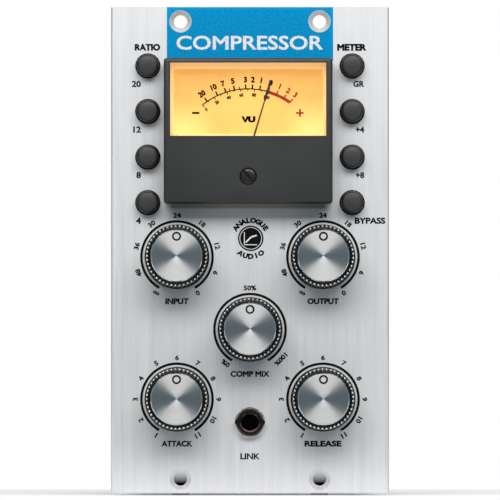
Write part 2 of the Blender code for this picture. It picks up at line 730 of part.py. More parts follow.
def rotary_controls():
    for name, (x, z) in KNOBS.items():
        potentiometer(name, x, z)
        pot_nut(name, x, z)
        turning = axis_empty(f"{name}_axis", x, PANEL_FRONT, z)
        knob_body(name, turning, PANEL_FRONT)
        knob_cap(name, turning, PANEL_FRONT)
        shaft(name, turning, PANEL_FRONT)


# Push buttons -------------------------------------------------------------------------------------


def push_button(name, x, z):
    """A domed cap on a round stem, moulded in one."""
    front = PANEL_FRONT - BUTTON_PROUD
    stem_end = BANK_FRONT - BUTTON_TRAVEL + STEM_IN_BANK
    crown = BUTTON_RADIUS - BUTTON_CHAMFER
    profile = [
        (0, front),
        (crown * 0.6, front + BUTTON_DOME * 0.36),
        (crown, front + BUTTON_DOME),
        (BUTTON_RADIUS, front + BUTTON_DOME + BUTTON_CHAMFER * 0.7),
        (BUTTON_RADIUS, BUTTON_SHOULDER),
        (STEM_RADIUS, BUTTON_SHOULDER),
        (STEM_RADIUS, stem_end),
        (0, stem_end),
    ]
    bm = bmesh.new()
    add_turned(bm, profile, ROUND)
    return piece(f"{name}_button", bm, "button_black", (x, 0, z))


def switch_bank(name, x, heights):
    """The housing of four switches, with a blind guide for each button's stem."""
    bm = bmesh.new()
    add_box(bm, (x - BANK_WIDTH / 2, BANK_FRONT, BANK_LOW), (x + BANK_WIDTH / 2, CONTROLS_BACK, BANK_HIGH))
    bank = piece(f"{name}_switch_bank", bm, "housing_black")
    guides = bmesh.new()
    guide_end = BANK_FRONT + STEM_IN_BANK + GAP
    for z in heights:
        add_rod(guides, STEM_RADIUS + RUNNING, BANK_FRONT - STEM_IN_BANK, guide_end, (x, z), segments=ROUND)
    return cut(bank, guides)


def push_buttons():
    for name, (x, names) in BANKS.items():
        heights = button_heights(names)
        switch_bank(name, x, heights.values())
        for button, z in heights.items():
            push_button(button, x, z)


# Level meter --------------------------------------------------------------------------------------


def meter_bezel():
    """The black moulded front, hollow behind, with the window and the adjuster's hole."""
    half = METER_WIDTH / 2
    bm = bmesh.new()
    add_box(bm, (-half, METER_FRONT, METER_LOW), (half, BEZEL_BACK, METER_HIGH))
    middle = (METER_FRONT + BEZEL_BACK) / 2
    rounded = [e for e in bm.edges if any(v.co.y < middle for v in e.verts)]
    bmesh.ops.bevel(bm, geom=rounded, offset=BEZEL_ROUNDING, segments=2, profile=0.5, affect="EDGES")
    bezel = piece("meter_bezel", bm, "bezel_black", (METER_SIDEWAYS, 0, 0))
    beyond = BEZEL_BACK + BEZEL_FRONT
    cavity = bmesh.new()
    add_box(
        cavity,
        (-half + BEZEL_WALL, CAVITY_FRONT, METER_LOW + BEZEL_WALL),
        (half - BEZEL_WALL, beyond, METER_HIGH - BEZEL_WALL),
    )
    cut(bezel, cavity)
    openings = bmesh.new()
    outside, inside = METER_FRONT - BEZEL_FRONT, CAVITY_FRONT + BEZEL_FRONT / 2
    add_box(openings, (-WINDOW_WIDTH / 2, outside, WINDOW_LOW), (WINDOW_WIDTH / 2, inside, WINDOW_HIGH))
    add_rod(openings, ZERO_SCREW_RADIUS + RUNNING, outside, inside, (0, ZERO_SCREW))
    return cut(bezel, openings)


def meter_window():
    """The clear pane behind the bezel's opening."""
    front = CAVITY_FRONT + GAP
    bm = bmesh.new()
    add_box(
        bm,
        (-WINDOW_WIDTH / 2 - PANE_LAP, front, WINDOW_LOW - PANE_LAP),
        (WINDOW_WIDTH / 2 + PANE_LAP, front + PANE_THICKNESS, WINDOW_HIGH + PANE_LAP),
    )
    return piece("meter_window", bm, "window_clear", (METER_SIDEWAYS, 0, 0))


def meter_case():
    """The meter's back: a flange on the panel and the barrel that goes through it."""
    side = METER_WIDTH / 2 - CASE_SIDE_INSET
    bm = bmesh.new()
    add_box(bm, (-side, CASE_FRONT, METER_LOW - CASE_DROP), (side, CASE_BACK, METER_HIGH - CASE_SIDE_INSET))
    case = piece("meter_case", bm, "case_grey", (METER_SIDEWAYS, 0, 0))
    centre = (0, BARREL_CENTRE)
    barrel = bmesh.new()
    add_rod(barrel, BARREL_RADIUS, CASE_FRONT + CASE_FLANGE / 2, BARREL_DEPTH, centre, segments=ROUND_BIG)
    join(case, barrel)
    hollow = bmesh.new()
    inner = BARREL_RADIUS - BARREL_WALL
    add_rod(hollow, inner, CASE_FRONT - CASE_FLANGE, BARREL_DEPTH - BARREL_WALL, centre, segments=ROUND_BIG)
    return cut(case, hollow)


def meter_dial():
    """The lit scale plate, with a hole for the pointer's axle."""
    side = METER_WIDTH / 2 - BEZEL_WALL - GAP
    bm = bmesh.new()
    low, high = METER_LOW + BEZEL_WALL + GAP, METER_HIGH - BEZEL_WALL - GAP
    add_box(bm, (-side, DIAL_FRONT, low), (side, DIAL_BACK, high))
    dial = piece("meter_dial", bm, "dial_amber", (METER_SIDEWAYS, 0, 0))
    hole = bmesh.new()
    beyond = DIAL_THICKNESS
    start, end = DIAL_FRONT - beyond, DIAL_BACK + beyond
    add_rod(hole, AXLE_RADIUS + RUNNING, start, end, (0, PIVOT), segments=ROUND_SMALL)
    return cut(dial, hole)


def meter_magnet():
    """The moving-coil magnet at the back of the barrel, bored for the pointer's axle."""
    end = BARREL_DEPTH - BARREL_WALL - GAP
    bore = AXLE_RADIUS + 2 * RUNNING
    bore_end = MAGNET_FRONT + AXLE_IN_MAGNET + 2 * GAP
    profile = [
        (0, bore_end),
        (bore, bore_end),
        (bore, MAGNET_FRONT),
        (MAGNET_RADIUS, MAGNET_FRONT),
        (MAGNET_RADIUS, end),
        (0, end),
    ]
    bm = bmesh.new()
    add_turned(bm, profile, ROUND)
    return piece("meter_magnet", bm, "magnet_steel", (METER_SIDEWAYS, 0, PIVOT))


def meter_pointer():
    """The pointer, its hub and its axle, which turn together."""
    widths = POINTER_HALF_WIDTHS
    half = [
        (widths["tail"], -POINTER_TAIL),
        (widths["hub"], 0),
        (widths["neck"], POINTER_NECK_LENGTH),
        (widths["tip"], POINTER_NECK_LENGTH + widths["tip"]),
        (widths["tip"], POINTER_LENGTH),
    ]
    outline = half + [(-w, z) for w, z in reversed(half)]
    bm = bmesh.new()
    front = POINTER_BACK - POINTER_THICKNESS
    add_prism(bm, outline, front, POINTER_BACK)
    pointer = piece("meter_pointer", bm, "pointer_black", (METER_SIDEWAYS, 0, PIVOT))
    pointer.rotation_euler = (0, POINTER_ANGLE, 0)
    hub_front = front - POINTER_THICKNESS
    hub_back = POINTER_BACK + POINTER_THICKNESS
    profile = [
        (0, hub_front),
        (HUB_RADIUS, hub_front),
        (HUB_RADIUS, hub_back),
        (AXLE_RADIUS, hub_back),
        (AXLE_RADIUS, MAGNET_FRONT + AXLE_IN_MAGNET),
        (0, MAGNET_FRONT + AXLE_IN_MAGNET),
    ]
    hub = bmesh.new()
    add_turned(hub, profile, ROUND_SMALL)
    return join(pointer, hub)


def meter_zero_screw():
    """The slotted adjuster below the window that sets the pointer's rest."""
    front = METER_FRONT - ZERO_SCREW_PROUD
    bm = bmesh.new()
    add_rod(bm, ZERO_SCREW_RADIUS, front, front + ZERO_SCREW_LENGTH)
    screw = piece("meter_zero_screw", bm, "bezel_black", (METER_SIDEWAYS, 0, ZERO_SCREW))
    screw.rotation_euler = (0, ZERO_SLOT_ANGLE, 0)
    slot = bmesh.new()
    add_box(
        slot,
        (-ZERO_SLOT_WIDTH / 2, front - ZERO_SLOT_DEPTH, -2 * ZERO_SCREW_RADIUS),
        (ZERO_SLOT_WIDTH / 2, front + ZERO_SLOT_DEPTH, 2 * ZERO_SCREW_RADIUS),
    )
    return cut(screw, slot)


def level_meter():
    meter_bezel()
    meter_window()
    meter_case()
    meter_dial()
    meter_magnet()
    meter_pointer()
    meter_zero_screw()


# Link socket --------------------------------------------------------------------------------------


def link_jack():
    """The socket's body with its threaded nose, bored for the plug."""
    half = JACK_BODY / 2
    bm = bmesh.new()
    add_box(bm, (-half, CONTROLS_FRONT, -half), (half, CONTROLS_BACK, half))
    jack = piece("link_jack", bm, "housing_black", (0, 0, JACK_HEIGHT))
    nose_front = PANEL_FRONT - GAP - JACK_NUT_THICKNESS - JACK_NOSE_OVER_NUT
    nose = bmesh.new()
    add_rod(nose, JACK_NOSE_RADIUS, nose_front, CONTROLS_FRONT + half)
    join(jack, nose)
    bore = bmesh.new()
    add_rod(bore, JACK_BORE_RADIUS, nose_front - half, nose_front + JACK_BORE_DEPTH)
    return cut(jack, bore)


def link_jack_nut():
    """The hexagonal nut on the socket's nose, with its corners to the left and right."""
    bm = bmesh.new()
    seat = PANEL_FRONT - GAP
    add_hexagon(bm, JACK_NUT_ACROSS_FLATS, seat - JACK_NUT_THICKNESS, seat, first_corner=0)
    nut = piece("link_jack_nut", bm, "nut_nickel", (0, 0, JACK_HEIGHT))
    bore = bmesh.new()
    add_rod(bore, JACK_NOSE_RADIUS + RUNNING, seat - 2 * JACK_NUT_THICKNESS, seat + JACK_NUT_THICKNESS)
    return cut(nut, bore)


def main():
    for old in list(bpy.data.objects):
        bpy.data.objects.remove(old)
    front_panel()
    chassis_tray()
    chassis_cover()
    cover_screws()
    main_board()
    standoffs()
    transformers()
    board_header()
    control_board()
    rotary_controls()
    push_buttons()
    level_meter()
    link_jack()
    link_jack_nut()


main()
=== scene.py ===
"""The looks of a two-slot rack compressor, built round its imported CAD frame.

Metres: +X to the right, +Y into the rack, +Z up, so a piece's front is the lower of its two Y values.
"""

from math import cos, pi, radians, sin, tau
from random import Random

import bmesh
import bpy
from mathutils import Matrix, Vector


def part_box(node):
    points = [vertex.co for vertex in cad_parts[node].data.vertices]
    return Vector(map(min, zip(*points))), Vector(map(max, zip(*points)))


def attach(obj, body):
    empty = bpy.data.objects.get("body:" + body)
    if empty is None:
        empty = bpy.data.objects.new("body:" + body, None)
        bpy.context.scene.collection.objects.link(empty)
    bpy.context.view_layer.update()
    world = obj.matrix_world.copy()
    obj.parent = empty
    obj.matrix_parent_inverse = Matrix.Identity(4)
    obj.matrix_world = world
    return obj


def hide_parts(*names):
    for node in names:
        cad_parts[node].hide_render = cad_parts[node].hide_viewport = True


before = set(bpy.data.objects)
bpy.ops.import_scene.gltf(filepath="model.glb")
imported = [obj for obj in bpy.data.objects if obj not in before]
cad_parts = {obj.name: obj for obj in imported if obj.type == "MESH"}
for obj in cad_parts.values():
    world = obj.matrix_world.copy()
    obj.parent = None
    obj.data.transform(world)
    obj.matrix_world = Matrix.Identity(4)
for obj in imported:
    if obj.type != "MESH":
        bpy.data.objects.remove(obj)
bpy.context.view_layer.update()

MM = 0.001
MICRON = 1e-6


def box_of(node):
    low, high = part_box(node)
    return Vector(low), Vector(high)


def middle_of(node):
    low, high = box_of(node)
    return (low + high) / 2


# Places, from the frame
PANEL_LOW, PANEL_HIGH = box_of("front_panel")
PANEL_MIDDLE = (PANEL_LOW + PANEL_HIGH) / 2
FRONT = PANEL_LOW.y
METER_LOW, METER_HIGH = box_of("meter_bezel")
METER = (METER_LOW + METER_HIGH) / 2
PANE_LOW, PANE_HIGH = box_of("meter_window")
DIAL_FRONT = box_of("meter_dial")[0].y
PANE_LAP = 0.28 * MM  # of the pane behind the bezel
WINDOW_LOW = PANE_LOW.z + PANE_LAP
WINDOW_HIGH = PANE_HIGH.z - PANE_LAP
WINDOW_HALF = (PANE_HIGH.x - PANE_LOW.x) / 2 - PANE_LAP
KNOBS = ("input", "output", "comp_mix", "attack", "release")
RATIO_BUTTONS = ("ratio_20", "ratio_12", "ratio_8", "ratio_4")
METER_BUTTONS = ("meter_gr", "meter_plus_4", "meter_plus_8", "bypass")
HOLE_SIDEWAYS = 19.05 * MM  # of the fixing holes, from the panel's middle
HOLE_BELOW_TOP = 3.96 * MM

# Sizes of what is printed
PRINT = 0.03 * MM  # thickness of the ink
INK_BACK = FRONT + 0.01 * MM
INK_FRONT = FRONT - PRINT
SECOND_INK = (INK_FRONT + 0.005 * MM, INK_FRONT - PRINT)  # back and front, when printed over the first

# Mesh helpers ---------------------------------------------------------------


def point(axis, a, b, along):
    return {"X": (along, a, b), "Y": (a, along, b), "Z": (a, b, along)}[axis]


def skin(bm, rings, segments):
    """Faces between rings of vertices, each of `segments` vertices or of one."""
    for one, two in zip(rings, rings[1:]):
        for i in range(segments):
            j = (i + 1) % segments
            corners = [one[i % len(one)], one[j % len(one)], two[j % len(two)], two[i % len(two)]]
            corners = list(dict.fromkeys(corners))
            if len(corners) > 2:
                bm.faces.new(corners)


def turned(bm, profile, segments=48, centre=(0, 0), axis="Y"):
    """A profile of (radius, along) turned round an axis."""
    rings = []
    for radius, along in profile:
        ring = []
        for i in range(segments if radius else 1):
            t = tau * i / segments
            place = point(axis, centre[0] + radius * cos(t), centre[1] + radius * sin(t), along)
            ring.append(bm.verts.new(place))
        rings.append(ring)
    skin(bm, rings, segments)


def closed_turned(bm, profile, segments=48, centre=(0, 0), axis="Y"):
    """A ring-shaped solid: the profile's last point joins its first."""
    turned(bm, [*profile, profile[0]], segments, centre, axis)
    bmesh.ops.remove_doubles(bm, verts=bm.verts, dist=MICRON / 10)


def profile_from(start, *points):
    """Points of (radius, along) in millimetres, counted from `start` along the axis."""
    return [(radius * MM, start + along * MM) for radius, along in points]


def prism(bm, outline, start, end, axis="Y"):
    first = [bm.verts.new(point(axis, a, b, start)) for a, b in outline]
    last = [bm.verts.new(point(axis, a, b, end)) for a, b in outline]
    bm.faces.new(first)
    bm.faces.new(last)
    walls(bm, first, last)


def walls(bm, first, last):
    """The faces between two loops of as many vertices."""
    for i in range(len(first)):
        bm.faces.new((first[i - 1], first[i], last[i], last[i - 1]))


def block(bm, low, high, rounding=0.0, segments=2):
    """A box, with every edge rounded."""
    size = [h - l for l, h in zip(low, high)]
    centre = [(l + h) / 2 for l, h in zip(low, high)]
    place = Matrix.Translation(centre) @ Matrix.Diagonal((*size, 1))
    made = bmesh.ops.create_cube(bm, size=1, matrix=place)["verts"]
    if rounding:
        edges = list({e for v in made for e in v.link_edges})
        bmesh.ops.bevel(bm, geom=edges, offset=rounding, segments=segments, profile=0.5, affect="EDGES")


def band(bm, centre, inner, outer, start, end, back, front, steps=96):
    """A flat arc between two radii, from one clockwise angle to another, 0 being straight up."""
    whole = abs(end - start - tau) < 1e-6
    corners = []
    for i in range(steps + (0 if whole else 1)):
        t = start + (end - start) * i / steps
        ring = []
        for radius, y in ((inner, front), (outer, front), (outer, back), (inner, back)):
            ring.append(bm.verts.new((centre[0] + radius * sin(t), y, centre[1] + radius * cos(t))))
        corners.append(ring)
    pairs = list(zip(corners, corners[1:]))
    if whole:
        pairs.append((corners[-1], corners[0]))
    for one, two in pairs:
        for k in range(4):
            bm.faces.new((one[k], two[k], two[(k + 1) % 4], one[(k + 1) % 4]))
    if not whole:
        bm.faces.new(corners[0])
        bm.faces.new(corners[-1])


def stroke(bm, points, width, back, front):
    """A flat line of constant width through (x, z) points."""
    sides = ([], [])
    for i, (x, z) in enumerate(points):
        before, after = points[max(i - 1, 0)], points[min(i + 1, len(points) - 1)]
        along = Vector((after[0] - before[0], after[1] - before[1])).normalized()
        for side, sign in zip(sides, (1, -1)):
            side.append((x - sign * along.y * width / 2, z + sign * along.x * width / 2))
    prism(bm, sides[0] + sides[1][::-1], back, front)


def solid(bm, name="solid"):
    bmesh.ops.recalc_face_normals(bm, faces=bm.faces)
    mesh = bpy.data.meshes.new(name)
    bm.to_mesh(mesh)
    bm.free()
    return mesh


def placed(name, data):
    made = bpy.data.objects.new(name, data)
    bpy.context.scene.collection.objects.link(made)
    return made


def carved(bm, *changes):
    """bm after Booleans, each of them (operation, bmesh)."""
    target = placed("carved", solid(bm))
    tools = []
    for operation, tool_bm in changes:
        tool = placed("tool", solid(tool_bm))
        modifier = target.modifiers.new("Boolean", "BOOLEAN")
        modifier.operation = operation
        modifier.object = tool
        tools.append(tool)
    bpy.context.view_layer.update()
    result = bmesh.new()
    evaluated = target.evaluated_get(bpy.context.evaluated_depsgraph_get())
    result.from_mesh(evaluated.to_mesh())
    evaluated.to_mesh_clear()
    for made in [target, *tools]:
        mesh = made.data
        bpy.data.objects.remove(made)
        bpy.data.meshes.remove(mesh)
    bmesh.ops.remove_doubles(result, verts=result.verts, dist=MICRON)
    bmesh.ops.dissolve_degenerate(result, edges=result.edges, dist=MICRON)
    return result


def piece(name, bm, material, body="module", stands_for=(), origin=(0, 0, 0), smooth=40):
    """A shown piece that rides on a body. The mesh is in world places and its origin is moved to `origin`."""
    bmesh.ops.recalc_face_normals(bm, faces=bm.faces)
    bmesh.ops.translate(bm, verts=bm.verts, vec=-Vector(origin))
    mesh = bpy.data.meshes.new(name)
    bm.to_mesh(mesh)
    bm.free()
    mesh.shade_smooth()
    mesh.set_sharp_from_angle(angle=radians(smooth))
    mesh.materials.append(material)
    made = placed(name, mesh)
    made.location = origin
    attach(made, body)
    if stands_for:
        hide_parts(*stands_for)


# Lettering ------------------------------------------------------------------


def outward(vertex, edges):
    """The direction in which an outline's corner moves when the glyph grows, at most 1.4 times the growth."""
    total = Vector((0, 0, 0))
    for edge in edges:
        face = edge.link_faces[0]
        along = edge.other_vert(vertex).co - vertex.co
        side = Vector((along.y, -along.x, 0)).normalized()
        inside = face.calc_center_median() - vertex.co
        total += side if side.dot(inside) < 0 else -side
    if total.length < 1e-6:
        return total
    return total.normalized() * min(2 / total.length, 1.4)


def glyphs(text, bold):
    """Flat text in the built-in font, one unit high or so, its strokes widened by twice `bold`."""
    curve = bpy.data.curves.new("text", "FONT")
    curve.body = text
    curve.resolution_u = 3
    holder = bpy.data.objects.new("text", curve)
    flat = bpy.data.meshes.new_from_object(holder)
    bpy.data.objects.remove(holder)
    bpy.data.curves.remove(curve)
    bm = bmesh.new()
    bm.from_mesh(flat)
    bpy.data.meshes.remove(flat)
    bmesh.ops.remove_doubles(bm, verts=bm.verts, dist=1e-4)
    moves = []
    for vertex in bm.verts:
        edges = [e for e in vertex.link_edges if len(e.link_faces) == 1]
        if len(edges) == 2:
            moves.append((vertex, outward(vertex, edges)))
    for vertex, way in moves:
        vertex.co += way * bold
    return bm


def letters(bm, text, at, height, width=None, turn=0.0, bold=0.01, align=0.5, wide=1.0, ink=None):
    """Text as a thin solid facing -Y. `at` is (x, z) of its middle, or of the share `align` of its width."""
    back, front = ink or (INK_BACK, INK_FRONT)
    flat = glyphs(text, bold)
    xs = [v.co.x for v in flat.verts]
    ys = [v.co.y for v in flat.verts]
    scale = height / (max(ys) - min(ys))
    across = width / (max(xs) - min(xs)) if width else scale * wide
    anchor = min(xs) + (max(xs) - min(xs)) * align
    level = (min(ys) + max(ys)) / 2
    for vertex in flat.verts:
        x = (vertex.co.x - anchor) * across
        z = (vertex.co.y - level) * scale
        vertex.co = (at[0] + x * cos(turn) + z * sin(turn), back, at[1] - x * sin(turn) + z * cos(turn))
    raised = bmesh.ops.extrude_face_region(flat, geom=flat.faces[:])["geom"]
    for vertex in raised:
        if isinstance(vertex, bmesh.types.BMVert):
            vertex.co.y = front
    mesh = solid(flat, "text")
    bm.from_mesh(mesh)
    bpy.data.meshes.remove(mesh)


def around(centre, radius, angle):
    """The (x, z) point at a clockwise angle from straight up."""
    return centre[0] + radius * sin(angle), centre[1] + radius * cos(angle)


# Materials ------------------------------------------------------------------


class Nodes:
    """A node tree, with short ways to add to it."""

    def __init__(self, tree):
        self.tree = tree

    def add(self, kind, **settings):
        node = self.tree.nodes.new(f"ShaderNode{kind}")
        for key, value in settings.items():
            setattr(node, key, value)
        return node

    def feed(self, source, target):
        if hasattr(source, "links"):
            self.tree.links.new(source, target)
        else:
            target.default_value = source

    def maths(self, operation, a, b=0.0, c=0.0):
        node = self.add("Math", operation=operation)
        for value, socket in zip((a, b, c), node.inputs):
            self.feed(value, socket)
        return node.outputs[0]

    def span(self, value, low, high, start=0.25, end=0.75, smooth=False):
        """value from start..end, as low..high."""
        node = self.add("MapRange", interpolation_type="SMOOTHSTEP" if smooth else "LINEAR")
        self.feed(value, node.inputs["Value"])
        for socket, number in zip(("From Min", "From Max", "To Min", "To Max"), (start, end, low, high)):
            node.inputs[socket].default_value = number
        return node.outputs["Result"]

    def from_middle(self, a, b):
        """How far the point (a, b) is from (0, 0)."""
        squares = self.maths("ADD", self.maths("MULTIPLY", a, a), self.maths("MULTIPLY", b, b))
        return self.maths("SQRT", squares)


class Finish(Nodes):
    """A Principled material with textures fixed to the piece. Texture sizes are in millimetres."""

    def __init__(self, name, colour, roughness, metallic=0.0, **sockets):
        self.material = bpy.data.materials.new(name)
        self.material.use_nodes = True
        super().__init__(self.material.node_tree)
        self.shader = self.tree.nodes["Principled BSDF"]
        self.colour = colour
        self.normal = None
        self.set("Base Color", (*colour, 1))
        self.set("Roughness", roughness)
        self.set("Metallic", metallic)
        for socket, value in sockets.items():
            self.set(socket.replace("_", " "), value)
        self.where = self.add("TexCoord").outputs["Object"]

    def set(self, socket, value):
        self.shader.inputs[socket].default_value = value

    def to(self, socket, source):
        self.feed(source, self.shader.inputs[socket])

    def axes(self):
        node = self.add("SeparateXYZ")
        self.feed(self.where, node.inputs[0])
        return node.outputs

    def scaled(self, size):
        """Object coordinates counted in features of `size` millimetres along X, Y and Z."""
        mapping = self.add("Mapping")
        self.feed(self.where, mapping.inputs["Vector"])
        mapping.inputs["Scale"].default_value = [1 / (s * MM) for s in size]
        return mapping.outputs["Vector"]

    def noise(self, size, detail=2.0, rough=0.5):
        """Noise of one size, or of three along X, Y and Z."""
        node = self.add("TexNoise")
        self.feed(self.scaled(size if isinstance(size, tuple) else (size,) * 3), node.inputs["Vector"])
        for socket, value in (("Scale", 1.0), ("Detail", detail), ("Roughness", rough), ("Distortion", 0.0)):
            node.inputs[socket].default_value = value
        return node.outputs["Fac"]

    def blend(self, share, one, two):
        node = self.add("Mix", data_type="RGBA", blend_type="MIX")
        self.feed(share, node.inputs["Factor"])
        for value, socket in ((one, "A"), (two, "B")):
            target = next(s for s in node.inputs if s.name == socket and s.type == "RGBA")
            self.feed((*value, 1) if isinstance(value, tuple) else value, target)
        return next(s for s in node.outputs if s.type == "RGBA")

    def shade(self, value, darkest=0.9, lightest=1.1, start=0.25, end=0.75):
        """The base colour made darker and lighter by a texture."""
        low = tuple(c * darkest for c in self.colour)
        high = tuple(min(1.0, c * lightest) for c in self.colour)
        self.to("Base Color", self.blend(self.span(value, 0, 1, start, end), low, high))

    def rough(self, value, low, high, start=0.25, end=0.75):
        self.to("Roughness", self.span(value, low, high, start, end))

    def relief(self, height, depth, strength=1.0):
        """Bump `depth` millimetres deep. Calls add up."""
        node = self.add("Bump")
        node.inputs["Distance"].default_value = depth * MM
        node.inputs["Strength"].default_value = strength
        self.feed(height, node.inputs["Height"])
        if self.normal:
            self.feed(self.normal, node.inputs["Normal"])
        self.normal = node.outputs["Normal"]
        self.to("Normal", self.normal)


def brushed_panel():
    """Satin aluminium, brushed up and down."""
    f = Finish("brushed_aluminium", (0.80, 0.80, 0.81), 0.42, 0.62)
    fine = f.noise((0.16, 2.0, 22.0), 3.0, 0.65)
    broad = f.noise((1.6, 4.0, 70.0), 2.0)
    mixed = f.maths("ADD", f.maths("MULTIPLY", fine, 0.65), f.maths("MULTIPLY", broad, 0.35))
    f.shade(mixed, 0.93, 1.04, 0.35, 0.65)
    f.rough(fine, 0.42, 0.53, 0.35, 0.65)
    f.relief(fine, 0.004, 0.6)
    return f.material


def sheet_steel():
    """Zinc-plated sheet: faint crystals, rolling lines and clouding."""
    f = Finish("plated_sheet", (0.56, 0.57, 0.58), 0.38, 1.0)
    crystals = f.add("TexVoronoi")
    f.feed(f.scaled((7.0, 7.0, 7.0)), crystals.inputs["Vector"])
    crystals.inputs["Scale"].default_value = 1.0
    tone = f.add("SeparateColor")
    f.feed(crystals.outputs["Color"], tone.inputs[0])
    lines = f.noise((30.0, 0.3, 30.0))
    cloud = f.noise(18.0, 3.0)
    mixed = f.maths("ADD", f.maths("MULTIPLY", tone.outputs[0], 0.16), f.maths("MULTIPLY", cloud, 0.84))
    f.shade(mixed, 0.91, 1.06)
    f.rough(mixed, 0.31, 0.43)
    f.relief(lines, 0.006, 0.5)
    return f.material


def moulded(name, colour, roughness, grain=0.25, depth=0.012, **sockets):
    """A moulded plastic with an eroded grain."""
    f = Finish(name, colour, roughness, **sockets)
    fine = f.noise(grain, 2.0, 0.6)
    broad = f.noise(9.0)
    f.shade(broad, 0.9, 1.12, 0.3, 0.7)
    f.rough(fine, roughness - 0.07, roughness + 0.07, 0.3, 0.7)
    f.relief(fine, depth, 0.7)
    return f.material


def button_plastic():
    """Black plastic, its crown painted paler than its rounded shoulder: painted shade on the shoulder, which
    turns away from the light.
    """
    f = Finish("button_plastic", (0.03, 0.03, 0.03), 0.36, Specular_IOR_Level=0.4)
    x, _, z = f.axes()
    # painted shade: the colour darkens from the crown out to the shoulder's edge
    edge = f.span(f.from_middle(x, z), 0.0, 1.0, 2.0 * MM, 3.0 * MM, smooth=True)
    f.to("Base Color", f.blend(edge, (0.044, 0.043, 0.042), (0.0035, 0.0035, 0.0035)))
    fine = f.noise(0.22, 2.0, 0.6)
    f.rough(fine, 0.29, 0.43, 0.3, 0.7)
    f.relief(fine, 0.008, 0.7)
    return f.material


def turned_metal(name, colour, roughness, marks=(30.0, 0.25, 30.0)):
    """Bar stock with tool marks across its axis."""
    f = Finish(name, colour, roughness, 1.0)
    lines = f.noise(marks)
    spots = f.noise(2.5, 3.0)
    f.shade(spots, 0.86, 1.08, 0.3, 0.7)
    f.rough(spots, roughness - 0.08, roughness + 0.1, 0.3, 0.7)
    f.relief(lines, 0.006, 0.5)
    return f.material


def spun_aluminium():
    """Spun disc: fine grooves round the piece's own Y axis."""
    f = Finish("spun_aluminium", (0.57, 0.58, 0.585), 0.42, 1.0, Anisotropic=0.93, Anisotropic_Rotation=0.25)
    f.to("Tangent", f.add("Tangent", direction_type="RADIAL", axis="Y").outputs[0])
    x, _, z = f.axes()
    radius = f.from_middle(x, z)
    grooves = f.add("TexNoise", noise_dimensions="1D")
    f.feed(f.maths("MULTIPLY", radius, 1 / (0.22 * MM)), grooves.inputs["W"])
    grooves.inputs["Scale"].default_value = 1.0
    grooves.inputs["Detail"].default_value = 3.0
    rings = grooves.outputs["Fac"]
    f.shade(rings, 0.90, 1.06, 0.3, 0.7)
    f.rough(rings, 0.36, 0.50, 0.3, 0.7)
    f.relief(rings, 0.003, 0.5)
    return f.material


def ink(name, colour, roughness=0.45, **sockets):
    """Screen-printed ink, slightly uneven."""
    f = Finish(name, colour, roughness, **sockets)
    spots = f.noise(0.6)
    f.shade(spots, 0.82, 1.18, 0.3, 0.7)
    f.rough(spots, roughness - 0.08, roughness + 0.08, 0.3, 0.7)
    f.relief(f.noise(0.12, 1.0), 0.004, 0.4)
    return f.material


def seen_through_window(f):
    """1 on the front within the window, 0 behind and beside it, so that no light leaks round the bezel."""
    x, y, z = f.axes()
    share = f.span(y, 1, 0, DIAL_FRONT + 0.05 * MM, DIAL_FRONT + 0.15 * MM)
    middle = (WINDOW_LOW + WINDOW_HIGH) / 2
    for place, centre, half in ((x, METER.x, WINDOW_HALF), (z, middle, WINDOW_HIGH - middle)):
        beyond = f.maths("SUBTRACT", f.maths("ABSOLUTE", f.maths("SUBTRACT", place, centre)), half)
        share = f.maths("MULTIPLY", share, f.span(beyond, 1, 0, 0.05 * MM, 0.15 * MM))
    return share


def lit_scale():
    """The scale plate, lit amber from behind by lamps in its two lower corners."""
    f = Finish("lit_scale", (0.55, 0.30, 0.09), 0.75, Specular_IOR_Level=0.2)
    x, _, z = f.axes()
    across = f.maths("ABSOLUTE", f.maths("SUBTRACT", x, METER.x))
    rise = f.maths("SUBTRACT", z, WINDOW_LOW)
    up = f.span(rise, 0, 1, 0.0, 20.0 * MM)
    from_lamp = f.maths("SUBTRACT", across, 18.5 * MM)
    above_lamp = f.maths("MULTIPLY", f.maths("SUBTRACT", rise, 1.2 * MM), 1.3)
    lamp = f.span(f.from_middle(from_lamp, above_lamp), 1, 0, 0.0, 13.0 * MM, smooth=True)
    sideways = f.maths("MULTIPLY", across, 0.7)
    spread = f.maths("ADD", sideways, f.maths("ABSOLUTE", f.maths("SUBTRACT", rise, 7.5 * MM)))
    glow = f.span(spread, 1, 0, 0.0, 15.0 * MM, smooth=True)
    colour = f.blend(up, (0.93, 0.52, 0.10), (0.72, 0.31, 0.062))
    colour = f.blend(f.maths("MULTIPLY", glow, 0.75), colour, (0.94, 0.63, 0.145))
    colour = f.blend(f.maths("MULTIPLY", lamp, 0.9), colour, (0.97, 0.86, 0.27))
    colour = f.blend(f.span(f.noise(3.5), 0.0, 0.10), colour, (1.0, 0.80, 0.45))
    f.to("Emission Color", colour)
    f.to("Emission Strength", f.maths("MULTIPLY", seen_through_window(f), 0.90))
    f.relief(f.noise(0.3), 0.01, 0.4)
    return f.material


def lit_surround():
    """The rim round the scale, lit by the same lamps and redder towards its top."""
    f = Finish("lit_surround", (0.85, 0.60, 0.28), 0.4)
    _, _, z = f.axes()
    up = f.span(f.maths("SUBTRACT", z, WINDOW_LOW), 0, 1, 0.0, 20.0 * MM)
    f.to("Emission Color", f.blend(up, (1.0, 0.62, 0.22), (0.98, 0.52, 0.20)))
    f.to("Emission Strength", f.maths("MULTIPLY", seen_through_window(f), 0.78))
    f.relief(f.noise(0.4), 0.01, 0.4)
    return f.material


def clear_pane():
    f = Finish("clear_acrylic", (0.985, 0.985, 0.975), 0.03, IOR=1.16)
    f.set("Transmission Weight", 1.0)
    f.set("Specular IOR Level", 0.25)
    f.relief(f.noise(14.0, 1.0), 0.01, 0.15)
    return f.material


